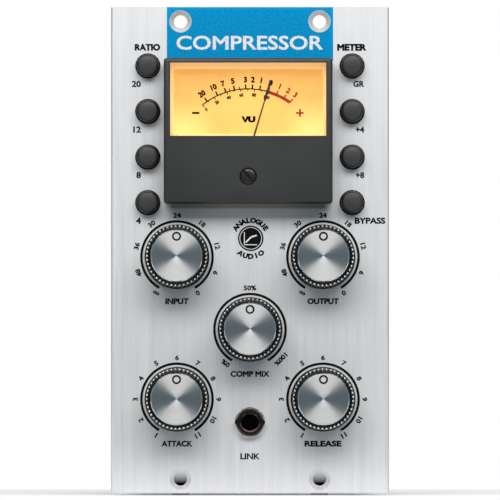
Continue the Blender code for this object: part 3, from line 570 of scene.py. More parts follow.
def solder_mask():
    """Green board with the faint relief of tracks under the lacquer."""
    f = Finish("solder_mask", (0.012, 0.105, 0.050), 0.32)
    f.set("Coat Weight", 0.35)
    weave = f.noise(0.5)
    tracks = f.add("TexBrick")
    f.feed(f.scaled((1.0, 1.0, 1.0)), tracks.inputs["Vector"])
    for socket, value in (("Scale", 0.5), ("Mortar Size", 0.10), ("Brick Width", 5.0), ("Row Height", 1.3)):
        tracks.inputs[socket].default_value = value
    lane = f.span(tracks.outputs["Fac"], 0.0, 1.0, 0.0, 1.0)
    f.to("Base Color", f.blend(f.maths("MULTIPLY", lane, 0.55), f.colour, (0.03, 0.20, 0.085)))
    f.rough(weave, 0.26, 0.40)
    f.relief(lane, 0.03, 0.5)
    return f.material


PANEL_METAL = brushed_panel()
SHEET = sheet_steel()
ANODISED_CAP = spun_aluminium()
KNOB_PLASTIC = moulded("knob_plastic", (0.003, 0.003, 0.0035), 0.24, 0.3, 0.002, Specular_IOR_Level=0.3)
BUTTON_PLASTIC = button_plastic()
BEZEL_PLASTIC = moulded("bezel_plastic", (0.030, 0.030, 0.030), 0.38, 0.3, 0.008)
ADJUSTER_BLACK = moulded("adjuster_black", (0.014, 0.014, 0.014), 0.28, 0.3, 0.004)
HOUSING = moulded("housing_plastic", (0.018, 0.018, 0.019), 0.5)
CASE_PLASTIC = moulded("meter_case_plastic", (0.42, 0.41, 0.34), 0.5)
CHIP = moulded("chip_epoxy", (0.022, 0.022, 0.024), 0.55, 0.15, 0.01)
SLEEVE = moulded("capacitor_sleeve", (0.016, 0.028, 0.075), 0.30, 0.6, 0.004)
FILM = moulded("film_capacitor", (0.42, 0.045, 0.030), 0.38, 0.5, 0.006)
RESISTOR = moulded("resistor_lacquer", (0.10, 0.26, 0.42), 0.35, 0.4, 0.006)
BLACK_INK = ink("black_ink", (0.003, 0.003, 0.0035), 0.6, Specular_IOR_Level=0.1)
BLUE_INK = ink("blue_ink", (0.001, 0.285, 0.59), 0.6, Specular_IOR_Level=0.05)
WHITE_INK = ink("white_ink", (0.86, 0.88, 0.90), 0.5)
RED_INK = ink("red_ink", (0.62, 0.022, 0.008), 0.5)
SCALE_BLACK = ink("scale_black", (0.004, 0.002, 0.001), 0.8, Specular_IOR_Level=0.05)
# painted highlight: bright metal beads in place of the glints on the black flutes
KNOB_GLINT_BEAD = turned_metal("knob_glint_bead", (0.94, 0.93, 0.91), 0.30)
# partly the cut bevel's own polish, partly a painted highlight for the bright rim round each cap
CUT_EDGE_AND_GLINT = turned_metal("cut_edge_and_glint", (0.93, 0.93, 0.92), 0.22)
NICKEL = turned_metal("nickel", (0.66, 0.64, 0.61), 0.24)
GUNMETAL = turned_metal("gunmetal", (0.115, 0.088, 0.082), 0.17)
# painted light: nickel made paler to offset the nut's shade on the washer
LIGHTENED_NICKEL = turned_metal("lightened_nickel", (0.86, 0.84, 0.81), 0.26)
BRASS = turned_metal("brass", (0.72, 0.55, 0.27), 0.26)
BLACK_ZINC = turned_metal("black_zinc", (0.16, 0.16, 0.17), 0.34, (0.25, 30.0, 30.0))
CAN_STEEL = turned_metal("can_steel", (0.50, 0.50, 0.51), 0.34, (0.4, 30.0, 30.0))
GOLD = turned_metal("gold_contact", (0.90, 0.66, 0.26), 0.22, (30.0, 0.3, 30.0))
TINNED = turned_metal("tinned_wire", (0.72, 0.72, 0.71), 0.28)
SCALE = lit_scale()
SURROUND = lit_surround()
PANE = clear_pane()
BOARD = solder_mask()


def give(material, *nodes):
    """A CAD node's own mesh, with a better material."""
    for node in nodes:
        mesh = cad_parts[node].data
        mesh.materials.clear()
        mesh.materials.append(material)


def dress_frame():
    def named(start="", end=""):
        return [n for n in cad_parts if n.startswith(start) and n.endswith(end)]

    give(PANEL_METAL, "front_panel")
    give(SHEET, "chassis_tray", "chassis_cover")
    give(BOARD, "main_board", "control_board")
    give(NICKEL, *named("standoff"), *named(end="pot_nut"))
    give(BLACK_ZINC, *named("cover_screw"))
    give(CAN_STEEL, *named(end="_pot"), *named(end="transformer"), "meter_magnet")
    give(BRASS, *named(end="_shaft"))
    give(HOUSING, "ratio_switch_bank", "meter_switch_bank", "board_header", "meter_pointer")
    give(CASE_PLASTIC, "meter_case")
    give(SCALE, "meter_dial")
    give(PANE, "meter_window")


# Knobs ----------------------------------------------------------------------

FLUTES = 45
STEPS_PER_FLUTE = 8
CAP_PROUD = 0.26 * MM
CAP_RECESS = 7.42 * MM
CAP_SEAT = 0.75 * MM  # depth of the recess
SHAFT_BORE = 3.12 * MM
BORE_END = 1.9 * MM  # behind the knob's front
CAVITY_RADIUS = 6.4 * MM
CAVITY_DEPTH = 4.5 * MM
BEAD_RADIUS = 0.30 * MM
BEAD_CIRCLE = 8.07 * MM
BEAD_BEHIND = 0.10 * MM  # the knob's front
BEAD_PHASE = 0.75  # of a flute, which sets a bead in each valley
# In millimetres, the skirt: inwards from the base's edge, up from the back
KNOB_SKIRT = ((0.15, 0), (0, 0.15), (0, 1.10), (0.08, 1.22), (0.28, 1.30))
# In millimetres, the fluted grip: inwards, back from the front, and the flute's cut inwards and backwards
KNOB_GRIP = (
    (0.30, 11.5, 0.50, 0),
    (0.52, 1.2, 0.45, 0),
    (0.58, 0.6, 0.38, 0.25),
    (0.66, 0.32, 0.25, 0.35),
    (0.80, 0.12, 0.10, 0.34),
    (1.00, 0.02, 0.02, 0.20),
    (1.22, 0, 0, 0.04),
)
# In millimetres, the cap's dimpled disc and its bevelled edge: radius, back from the cap's front
CAP_DISC = ((0, 0.10), (0.12, 0.06), (0.3, 0.02), (2.5, 0.01), (6.85, 0), (6.9, 0.05), (6.9, 0.8), (0, 0.8))
CAP_EDGE = ((6.86, 0.02), (6.96, 0.02), (7.26, 0.36), (7.30, 0.44), (7.30, 0.80), (6.86, 0.80))
POINTER_ABOVE = 5.3 * MM  # the cap's centre
POINTER_INNER, POINTER_OUTER = 0.76 * MM, 1.25 * MM


def knob_rings(back, front, base):
    """The moulding's rings, bore to front recess: radius, y, and how far in and back the flutes cut."""
    bore_end, cavity_end = front + BORE_END, back - CAVITY_DEPTH
    hidden = [(0, bore_end), (SHAFT_BORE, bore_end), (SHAFT_BORE, cavity_end), (CAVITY_RADIUS, cavity_end)]
    hidden += [(CAVITY_RADIUS, back)]
    hidden += [(base - inwards * MM, back - up * MM) for inwards, up in KNOB_SKIRT]
    recess = [(CAP_RECESS + 0.06 * MM, front), (CAP_RECESS, front + 0.06 * MM)]
    recess += [(CAP_RECESS, front + CAP_SEAT), (0, front + CAP_SEAT)]
    rings = [(radius, y, 0, 0) for radius, y in hidden]
    for inwards, y, cut, sink in KNOB_GRIP:
        rings.append((base - inwards * MM, front + y * MM, cut * MM, sink * MM))
    return rings + [(radius, y, 0, 0) for radius, y in recess]


def knob_moulding(low, high, x, z):
    bm = bmesh.new()
    rings = []
    segments = FLUTES * STEPS_PER_FLUTE
    for radius, y, cut, sink in knob_rings(high.y, low.y, (high.x - low.x) / 2):
        ring = []
        for i in range(segments if radius else 1):
            t = tau * i / segments
            valley = 0.5 - 0.5 * cos(FLUTES * t)
            r = radius - cut * valley
            ring.append(bm.verts.new((x + r * cos(t), y + sink * valley, z + r * sin(t))))
        rings.append(ring)
    skin(bm, rings, segments)
    return bm


def knob_beads(front, x, z):
    """Bright metal beads round the cap, one to a flute: painted highlights, which stand in for the glints on
    the ends of the black flutes.
    """
    bm = bmesh.new()
    top = front + BEAD_BEHIND
    dome = []
    for k in range(4):
        t = pi / 2 * k / 3
        dome.append((BEAD_RADIUS * sin(t), top + BEAD_RADIUS * (1 - cos(t))))
    foot = dome[-1][1] + 0.2 * MM
    dome += [(BEAD_RADIUS, foot), (0, foot)]
    for i in range(FLUTES):
        turned(bm, dome, 10, around((x, z), BEAD_CIRCLE, tau * (i + BEAD_PHASE) / FLUTES))
    return bm


def knob(name):
    """A fluted, tapered moulding with a spun disc let into its front and a small ring for a pointer."""
    low, high = box_of(f"{name}_knob")
    middle = middle_of(f"{name}_knob")
    x, z = middle.x, middle.z
    face = low.y - CAP_PROUD
    disc, edge, pointer = bmesh.new(), bmesh.new(), bmesh.new()
    turned(disc, profile_from(face, *CAP_DISC), 128, (x, z))
    closed_turned(edge, profile_from(face, *CAP_EDGE), 128, (x, z))
    at, ink_back, ink_front = (x, z + POINTER_ABOVE), face + 0.02 * MM, face - PRINT
    band(pointer, at, POINTER_INNER, POINTER_OUTER, 0, tau, ink_back, ink_front, 48)
    moulding, beads = knob_moulding(low, high, x, z), knob_beads(low.y, x, z)
    for part, bm, material, y, smooth, slot, stands_for in (
        ("knob_moulding", moulding, KNOB_PLASTIC, high.y, 50, "knob_black", [f"{name}_knob"]),
        ("knob_beads", beads, KNOB_GLINT_BEAD, low.y, 60, "cap_aluminium", []),
        ("cap_disc", disc, ANODISED_CAP, face, 20, "cap_aluminium", [f"{name}_knob_cap"]),
        ("cap_edge", edge, CUT_EDGE_AND_GLINT, face, 20, "cap_aluminium", []),
        ("cap_pointer", pointer, BLACK_INK, face, 40, "knob_black", []),
    ):
        piece(f"{name}_{part}", bm, material, f"{name}_control", stands_for, (x, y, z), smooth)


# Buttons --------------------------------------------------------------------

BUTTON_EDGE = 0.18 * MM  # of the cap, inside its CAD box
BUTTON_CROWN = 2.45 * MM  # radius of the domed face
BUTTON_DOME = 0.22 * MM
BUTTON_SHOULDER = 1.1 * MM
BUTTON_BACK = 2.2 * MM
STEM_RADIUS = 1.9 * MM


def button(name):
    """A push button: a softly domed face, a rounded shoulder and a skirt on a round stem."""
    low, high = box_of(f"{name}_button")
    x, z = (low.x + high.x) / 2, (low.z + high.z) / 2
    radius = (high.x - low.x) / 2 - BUTTON_EDGE
    front = low.y
    profile = [(BUTTON_CROWN * i / 6, front + BUTTON_DOME * (i / 6) ** 2) for i in range(7)]
    for i in range(1, 7):
        t = pi / 2 * i / 6
        y = front + BUTTON_DOME + BUTTON_SHOULDER * (1 - cos(t))
        profile.append((BUTTON_CROWN + (radius - BUTTON_CROWN) * sin(t), y))
    profile += [(radius, BUTTON_BACK), (STEM_RADIUS, BUTTON_BACK), (STEM_RADIUS, high.y), (0, high.y)]
    bm = bmesh.new()
    turned(bm, profile, 64, (x, z))
    body, stands_for = f"{name}_push", [f"{name}_button"]
    piece(f"{name}_button_cap", bm, BUTTON_PLASTIC, body, stands_for, (x, front, z), 50)


# Printing on the panel ------------------------------------------------------

RING_RADIUS = 9.75 * MM
RING_WIDTH = 0.68 * MM
DIAL_SWEEP = radians(150)
NUMERAL_RADIUS = 11.4 * MM
LONG_NUMERAL_FURTHER = 0.35 * MM
NUMERAL_HEIGHT = 1.42 * MM
INFINITY_HEIGHT = 0.85 * MM
CAPTION_HEIGHT = 1.65 * MM
CAPTION_DROP = 12.15 * MM  # below the knob's axis
LABEL_DROP = 4.95 * MM  # below the button's
HEADING_RISE = 5.1 * MM  # above the top button's
HEADING_SHIFT = -0.1 * MM
LINK_DROP = 9.3 * MM
SCALES = {
    "input": [(-150 + 37.5 * i, text) for i, text in enumerate("∞ 48 36 30 24 18 12 6 0".split())],
    "attack": [(-150 + 30 * i, str(i + 1)) for i in range(11)],
    "comp_mix": [(-144, "0%"), (0, "50%"), (134, "100%")],
}
SCALES["output"] = SCALES["input"]
SCALES["release"] = SCALES["attack"]
CAPTION_WIDTHS = {"input": 6.4, "output": 8.6, "comp_mix": 10.7, "attack": 8.5, "release": 10.1}


def knob_print(bm, name):
    """The ring, the numerals and the caption round one knob."""
    centre = (middle_of(f"{name}_knob").x, middle_of(f"{name}_knob").z)
    inner, outer = RING_RADIUS - RING_WIDTH / 2, RING_RADIUS + RING_WIDTH / 2
    band(bm, centre, inner, outer, -DIAL_SWEEP, DIAL_SWEEP, INK_BACK, INK_FRONT, 120)
    for angle, text in SCALES[name]:
        turn = radians(angle)
        at = around(centre, NUMERAL_RADIUS + (LONG_NUMERAL_FURTHER if len(text) == 4 else 0), turn)
        height = INFINITY_HEIGHT if text == "∞" else NUMERAL_HEIGHT
        letters(bm, text, at, height, None, turn, 0.045, wide=1.15)
    at = (centre[0], centre[1] - CAPTION_DROP)
    letters(bm, name.replace("_", " ").upper(), at, CAPTION_HEIGHT, CAPTION_WIDTHS[name] * MM, bold=0.05)


def print_legends():
    """Everything printed in black on the bare panel."""
    bm = bmesh.new()
    for name in KNOBS:
        knob_print(bm, name)
    left, right = middle_of("ratio_20_button"), middle_of("meter_gr_button")
    for text, column, width in (("RATIO", left, 7.0 * MM), ("METER", right, 8.0 * MM)):
        letters(bm, text, (column.x + HEADING_SHIFT, column.z + HEADING_RISE), 1.9 * MM, width, bold=0.062)

    def label(text, name, x, height, **style):
        letters(bm, text, (x, middle_of(f"{name}_button").z - LABEL_DROP), height, **style)

    for name, text in zip(RATIO_BUTTONS, ("20", "12", "8", "4")):
        label(text, name, left.x - 1.9 * MM, 1.75 * MM, align=1, bold=0.04, wide=1.1)
    for name, text in zip(METER_BUTTONS, ("GR", "+4", "+8")):
        label(text, name, right.x + 3.3 * MM, 1.7 * MM, align=1, bold=0.04, wide=1.0)
    label("BYPASS", "bypass", right.x + 0.7 * MM, 1.75 * MM, width=8.4 * MM, align=0, bold=0.045)
    jack = middle_of("link_jack")
    letters(bm, "LINK", (jack.x, jack.z - LINK_DROP), 1.7 * MM, 5.3 * MM, bold=0.04)
    piece("panel_legends", bm, BLACK_INK)


def title_band():
    """The blue band, which runs over the panel's top edge, with its generic title."""
    half = 22.8 * MM
    low, top = METER_HIGH.z - 0.4 * MM, PANEL_HIGH.z
    chamfer = 0.4 * MM
    covered = 0.85  # of the chamfer
    turn_y, turn_z = FRONT + covered * chamfer, top - (1 - covered) * chamfer
    outline = [(INK_BACK, low), (INK_BACK, top - chamfer), (turn_y, turn_z), (turn_y - PRINT, turn_z + PRINT)]
    outline += [(INK_FRONT, top - chamfer + PRINT / 2), (INK_FRONT, low)]
    bm = bmesh.new()
    prism(bm, outline, -half, half, "X")
    holes = bmesh.new()
    rim = profile_from(FRONT, (0, 1), (3.05, 1), (3.05, -1), (0, -1))
    for side in (-1, 1):
        turned(holes, rim, 64, (side * HOLE_SIDEWAYS, top - HOLE_BELOW_TOP))
    bm = carved(bm, ("DIFFERENCE", holes))
    piece("title_band", bm, BLUE_INK, smooth=60)
    bm = bmesh.new()
    at = (-0.1 * MM, METER_HIGH.z + 4.55 * MM)
    letters(bm, "COMPRESSOR", at, 3.9 * MM, 40.2 * MM, bold=0.02, ink=SECOND_INK)
    piece("title_letters", bm, WHITE_INK)


EMBLEM_ABOVE_KNOBS = 5.1 * MM
EMBLEM_RADIUS = 3.5 * MM
EMBLEM_RING = (2.90 * MM, 3.07 * MM)
EMBLEM_TEXT_RADIUS = 4.95 * MM
EMBLEM_TEXT = (("ANALOGUE", 0, 16.0), ("AUDIO", pi, -17.5))  # word, middle's angle, degrees per letter
PLOT_HALF = 1.75 * MM
PLOT_LINE = 0.22 * MM
PLOT_MARGIN = 0.35 * MM
CURVE_LINE = 0.42 * MM
CURVE_RISE = 0.25 * MM
CURVE_POINTS = 15
KNEE, KNEE_SLOPE = 0.5, 0.3


def emblem():
    """A small generic badge: a disc with a compressor's transfer curve."""
    centre = (0.2 * MM, middle_of("input_knob").z + EMBLEM_ABOVE_KNOBS)
    bm = bmesh.new()
    rim = [(0, INK_FRONT), (EMBLEM_RADIUS, INK_FRONT), (EMBLEM_RADIUS, INK_BACK), (0, INK_BACK)]
    turned(bm, rim, 72, centre)
    for word, middle, apart in EMBLEM_TEXT:
        for i, letter in enumerate(word):
            angle = middle + radians(apart * (i - (len(word) - 1) / 2))
            at = around(centre, EMBLEM_TEXT_RADIUS, angle)
            letters(bm, letter, at, 1.5 * MM, None, angle - middle, 0.07, wide=1.1)
    piece("emblem_disc", bm, BLACK_INK)

    bm = bmesh.new()
    band(bm, centre, *EMBLEM_RING, 0, tau, *SECOND_INK, 72)
    left, right = centre[0] - PLOT_HALF, centre[0] + PLOT_HALF
    low, high = centre[1] - PLOT_HALF, centre[1] + PLOT_HALF
    stroke(bm, [(left, high), (left, low)], PLOT_LINE, *SECOND_INK)
    stroke(bm, [(left - PLOT_LINE / 2, low), (right, low)], PLOT_LINE, *SECOND_INK)
    run = 2 * PLOT_HALF - PLOT_MARGIN - 0.1 * MM
    curve = []
    for i in range(CURVE_POINTS):
        t = i / (CURVE_POINTS - 1)
        gain = t if t < KNEE else KNEE + (t - KNEE) * KNEE_SLOPE
        curve.append((left + PLOT_MARGIN + run * t, low + PLOT_MARGIN + run * gain + CURVE_RISE))
    stroke(bm, curve, CURVE_LINE, *SECOND_INK)
    piece("emblem_curve", bm, WHITE_INK)


# Meter ----------------------------------------------------------------------

SCALE_CENTRE = (METER.x, METER.z - 8.4 * MM)
PIVOT = (METER.x, METER.z - 6.7 * MM)  # of the pointer
ARC = 20.0 * MM
FOOT_ANGLE = -38.6  # clockwise degrees, where the percentage scale starts
LEVEL_ANGLES = {-20: -34.2, -10: -24.8, -7: -17.8, -6: -14.4, -5: -10.8, -4: -6.6, -3: -1.9, -2: 3.3, -1: 9.2}
LEVEL_ANGLES |= {0: 16.0, 1: 22.8, 2: 29.4, 3: 35.2}
SCALE_INK = (DIAL_FRONT + 0.01 * MM, DIAL_FRONT - PRINT)
ADJUSTER = middle_of("meter_zero_screw")
ADJUSTER_ANGLE = radians(-42)
BEZEL_WALL = 0.8 * MM
BEZEL_DEPTH = 1.2 * MM  # of its front wall
BEZEL_ROUNDING = 0.8 * MM


def scale_angle(level):
    """The clockwise angle of a level in VU."""
    return radians(LEVEL_ANGLES[level])


def scale_tick(bm, angle, inner, outer, width):
    ends = [around(SCALE_CENTRE, radius, angle) for radius in (inner, outer)]
    stroke(bm, ends, width * MM, *SCALE_INK)


def scale_numeral(bm, text, radius, angle, height):
    at = around(SCALE_CENTRE, radius, angle)
    letters(bm, text, at, height * MM, None, angle, 0.060, wide=0.95, ink=SCALE_INK)


def meter_scale():
    """The level scale above the arc, the percentages below it, the unit and the two signs."""
    black, red = bmesh.new(), bmesh.new()
    start, zero, end = radians(FOOT_ANGLE), scale_angle(0), scale_angle(3)
    band(black, SCALE_CENTRE, ARC - 0.16 * MM, ARC + 0.16 * MM, start, zero, *SCALE_INK, 60)
    band(red, SCALE_CENTRE, ARC - 0.55 * MM, ARC + 0.32 * MM, zero, end, *SCALE_INK, 40)
    for level in (-20, -10, -7, -6, -5, -4, -3, -2, -1, 0):
        long = level not in (-6, -4)
        height, width = (1.25, 0.42) if long else (0.75, 0.28)
        scale_tick(black, scale_angle(level), ARC, ARC + height * MM, width)
        if long:
            scale_numeral(black, str(-level), ARC + 2.55 * MM, scale_angle(level), 1.65)
    for level in (1, 2, 3):
        scale_tick(red, scale_angle(level), ARC, ARC + 1.15 * MM, 0.40)
        scale_numeral(red, str(level), ARC + 2.45 * MM, scale_angle(level), 1.6)
    for percent in range(0, 101, 10):
        angle = start + (zero - start) * percent / 100
        major = percent % 20 == 0
        scale_tick(black, angle, ARC - (0.75 if major else 0.45) * MM, ARC, 0.26)
        if major:
            scale_numeral(black, str(percent), ARC - 1.6 * MM, angle, 1.0)
    at = (METER.x + 0.05 * MM, METER.z + 3.25 * MM)
    letters(black, "VU", at, 1.75 * MM, 3.9 * MM, bold=0.09, ink=SCALE_INK)
    level = METER.z + 5.0 * MM
    minus, plus = METER.x - 14.35 * MM, METER.x + 14.15 * MM
    arm = 1.05 * MM
    back, front = SCALE_INK
    stroke(black, [(minus - MM, level), (minus + MM, level)], 0.55 * MM, back, front)
    stroke(red, [(plus - arm, level), (plus + arm, level)], 0.5 * MM, back, front)
    stroke(red, [(plus, level - arm), (plus, level + arm)], 0.5 * MM, back, front - 0.01 * MM)
    piece("scale_marks_black", black, SCALE_BLACK)
    piece("scale_marks_red", red, RED_INK)


def scale_baffle():
    """A black mask over the plate's unlit lower part, so that no light leaks round the adjuster."""
    low, high = box_of("meter_dial")
    back, front = DIAL_FRONT - 0.02 * MM, DIAL_FRONT - 0.5 * MM
    radius = 1.3 * MM
    bm, hole = bmesh.new(), bmesh.new()
    block(bm, (low.x, front, low.z), (high.x, back, WINDOW_LOW - 0.5 * MM))
    through = [(0, back + MM), (radius, back + MM), (radius, front - MM), (0, front - MM)]
    turned(hole, through, 40, PIVOT)
    bm = carved(bm, ("DIFFERENCE", hole))
    piece("scale_baffle", bm, HOUSING)


def scale_surround():
    """The raised, lit rim round the scale, just inside the window."""
    back, front = DIAL_FRONT - 0.05 * MM, DIAL_FRONT - 0.85 * MM
    lap, margin, slope = 0.2 * MM, 0.62 * MM, 0.28 * MM
    bm, hole = bmesh.new(), bmesh.new()
    left, right = METER.x - WINDOW_HALF, METER.x + WINDOW_HALF
    block(bm, (left - lap, front, WINDOW_LOW - lap), (right + lap, back, WINDOW_HIGH + lap))
    low, high = WINDOW_LOW + 0.55 * MM, WINDOW_HIGH - 1.25 * MM
    loops = []
    for y, inwards in ((front - 0.3 * MM, 0), (back + 0.3 * MM, slope)):
        x0, x1, z0, z1 = left + margin + inwards, right - margin - inwards, low + inwards, high - inwards
        loops.append([hole.verts.new((x, y, z)) for x, z in ((x0, z0), (x1, z0), (x1, z1), (x0, z1))])
        hole.faces.new(loops[-1])
    walls(hole, *loops)
    bm = carved(bm, ("DIFFERENCE", hole))
    piece("scale_surround", bm, SURROUND)


def meter_bezel():
    """The moulded front: soft outer edges, a chamfered window and a shallow ring round the adjuster."""
    front, back = METER_LOW.y, METER_HIGH.y
    bm, trim, cavity, window, hole = (bmesh.new() for _ in range(5))
    block(bm, METER_LOW, (METER_HIGH.x, back + 2 * MM, METER_HIGH.z), BEZEL_ROUNDING, 5)
    high = (METER_HIGH.x + MM, back + 4 * MM, METER_HIGH.z + MM)
    block(trim, (METER_LOW.x - MM, back, METER_LOW.z - MM), high)
    low = (METER_LOW.x + BEZEL_WALL, front + BEZEL_DEPTH, METER_LOW.z + BEZEL_WALL)
    high = (METER_HIGH.x - BEZEL_WALL, back + MM, METER_HIGH.z - BEZEL_WALL)
    block(cavity, low, high)
    flare = 0.15 * MM
    loops = []
    for y, grow in ((front - 0.05 * MM, flare), (front + flare, 0.0), (front + 2 * BEZEL_DEPTH, 0.0)):
        x0, x1 = METER.x - WINDOW_HALF - grow, METER.x + WINDOW_HALF + grow
        z0, z1 = WINDOW_LOW - grow, WINDOW_HIGH + grow
        loops.append([window.verts.new((x, y, z)) for x, z in ((x0, z0), (x1, z0), (x1, z1), (x0, z1))])
    window.faces.new(loops[0])
    window.faces.new(loops[-1])
    for one, two in zip(loops, loops[1:]):
        walls(window, one, two)
    radius, deep = 2.32 * MM, front + 2 * BEZEL_DEPTH
    ring = [(0, front - MM), (radius + MM, front - MM), (radius, front + 0.08 * MM)]
    ring += [(radius, deep), (0, deep)]
    turned(hole, ring, 64, (ADJUSTER.x, ADJUSTER.z))
    bm = carved(bm, *[("DIFFERENCE", cutter) for cutter in (trim, cavity, window, hole)])
    piece("bezel_moulding", bm, BEZEL_PLASTIC, "module", ["meter_bezel"], smooth=30)


def zero_adjuster():
    """A slotted plastic screw with a turned edge, its slot at the angle of the CAD piece."""
    low, high = box_of("meter_zero_screw")
    radius = 2.2 * MM
    front = low.y
    bm, slot = bmesh.new(), bmesh.new()
    profile = profile_from(front, (0, 0.02), (1.45, 0), (1.85, 0.10), (2.1, 0.30), (2.2, 0.55))
    turned(bm, profile + [(radius, high.y), (0, high.y)], 64)
    block(slot, (-0.42 * MM, front - MM, -3 * MM), (0.42 * MM, front + 0.95 * MM, 3 * MM))
    bm = carved(bm, ("DIFFERENCE", slot))
    turn = Matrix.Rotation(ADJUSTER_ANGLE, 4, "Y")
    bmesh.ops.transform(bm, matrix=Matrix.Translation((ADJUSTER.x, 0, ADJUSTER.z)) @ turn, verts=bm.verts)
    origin, stands_for = (ADJUSTER.x, front, ADJUSTER.z), ["meter_zero_screw"]
    piece("adjuster_screw", bm, ADJUSTER_BLACK, "zero_adjuster", stands_for, origin, 35)


# Link socket ----------------------------------------------------------------

NOSE_RADIUS = 2.75 * MM
PLUG_BORE = 1.85 * MM
SOCKET_DEPTH = 14 * MM
THREADS = 11
THREAD_PITCH = 0.5 * MM
THREAD_DEPTH = 0.12 * MM
WASHER_RADIUS = 4.15 * MM
SOCKET_BODY_FRONT = 1.5 * MM


def hexagon(across_flats):
    radius = across_flats / 2 / cos(pi / 6)
    return [(radius * cos(tau * i / 6), radius * sin(tau * i / 6)) for i in range(6)]


def socket_nut(centre, origin):
    """A hexagon nut with rounded corners and a bevelled bore."""
    low, high = box_of("link_jack_nut")
    flat = (high.z - low.z) / 2
    corner = flat / cos(pi / 6)
    drop = (corner - flat) * 0.62
    inner = NOSE_RADIUS + 0.25 * MM
    bm, cone, bore = bmesh.new(), bmesh.new(), bmesh.new()
    prism(bm, hexagon(2 * flat), low.y, high.y)
    outside = [(0, low.y), (flat - 0.05 * MM, low.y), (corner + 0.05 * MM, low.y + drop)]
    turned(cone, outside + [(corner + 0.05 * MM, high.y), (0, high.y)], 96)
    inside = [(0, low.y - MM), (inner + 0.7 * MM, low.y - 0.5 * MM), (inner, low.y + 0.2 * MM)]
    turned(bore, inside + [(inner, high.y + MM), (0, high.y + MM)], 64)
    bm = carved(bm, ("INTERSECT", cone), ("DIFFERENCE", bore))
    bmesh.ops.transform(bm, matrix=Matrix.Translation((centre[0], 0, centre[1])), verts=bm.verts)
    piece("socket_nut", bm, GUNMETAL, "module", ["link_jack_nut"], origin, 25)


def link_socket():
    """A mini jack: nut, washer, threaded nose and the body behind the panel."""
    low, high = box_of("link_jack")
    middle = middle_of("link_jack")
    centre = (middle.x, middle.z)
    origin = (middle.x, box_of("link_jack_nut")[1].y, middle.z)
    front = low.y
    socket_nut(centre, origin)

    bm = bmesh.new()
    inner = NOSE_RADIUS + 0.2 * MM
    outer, back = WASHER_RADIUS, FRONT - 0.02 * MM
    ring = [(inner, FRONT - 0.26 * MM), (outer - 0.1 * MM, FRONT - 0.26 * MM), (outer, FRONT - 0.18 * MM)]
    ring += [(outer, back), (inner, back)]
    closed_turned(bm, ring, 96, centre)
    piece("socket_washer", bm, LIGHTENED_NICKEL, "module", (), origin, 30)

    bm = bmesh.new()
    tube, end = PLUG_BORE + 0.6 * MM, front + SOCKET_DEPTH - 0.01 * MM
    profile = [(PLUG_BORE, end)] + profile_from(front, (1.85, 0.9), (2.28, 0.30), (2.36, 0.06), (2.45, 0))
    profile += [(NOSE_RADIUS - 0.2 * MM, front), (NOSE_RADIUS - 0.02 * MM, front + 0.18 * MM)]
    for i in range(THREADS):
        y = front + 0.3 * MM + THREAD_PITCH * i
        profile += [(NOSE_RADIUS, y), (NOSE_RADIUS - THREAD_DEPTH, y + THREAD_PITCH / 2)]
    profile += [(NOSE_RADIUS, SOCKET_BODY_FRONT), (tube, SOCKET_BODY_FRONT + MM), (tube, end)]
    closed_turned(bm, profile, 64, centre)
    piece("socket_nose", bm, GUNMETAL, "module", (), origin, 35)

    bm, well = bmesh.new(), bmesh.new()
    half = (high.x - low.x) / 2
    block(bm, (middle.x - half, SOCKET_BODY_FRONT + 0.02 * MM, middle.z - half),
          (middle.x + half, high.y, middle.z + half), 0.35 * MM, 3)
    radius, start, end = 2.5 * MM, SOCKET_BODY_FRONT - MM, front + SOCKET_DEPTH + 0.2 * MM
    turned(well, [(0, start), (radius, start), (radius, end), (0, end)], 48, centre)
    bm = carved(bm, ("DIFFERENCE", well))
    piece("socket_body", bm, HOUSING, "module", ["link_jack"], origin, 30)


# Behind the panel -----------------------------------------------------------

CONTACT_PITCH = 3.96 * MM
CONTACT_HALF_WIDTH = 1.25 * MM
CONTACTS_EACH_WAY = 7  # from the middle one
LEAD_HALF = 0.25 * MM
PIN_PITCH = 2.54 * MM
COLUMN_PITCH = 11.5 * MM
ROW_PITCH = 19.5 * MM
RESERVOIR_PITCH = 12 * MM


def edge_contacts():
    """Gold fingers on both faces of the card edge: fifteen at 0.156 in."""
    low, high = box_of("main_board")
    for side, x, out in (("left", low.x, -1), ("right", high.x, 1)):
        bm = bmesh.new()
        xs = sorted((x - out * 0.01 * MM, x + out * 0.04 * MM))
        for i in range(-CONTACTS_EACH_WAY, CONTACTS_EACH_WAY + 1):
            z = PANEL_MIDDLE.z + i * CONTACT_PITCH
            block(bm, (xs[0], high.y - 9.6 * MM, z - CONTACT_HALF_WIDTH),
                  (xs[1], high.y - 0.35 * MM, z + CONTACT_HALF_WIDTH))
        piece(f"edge_contacts_{side}", bm, GOLD)


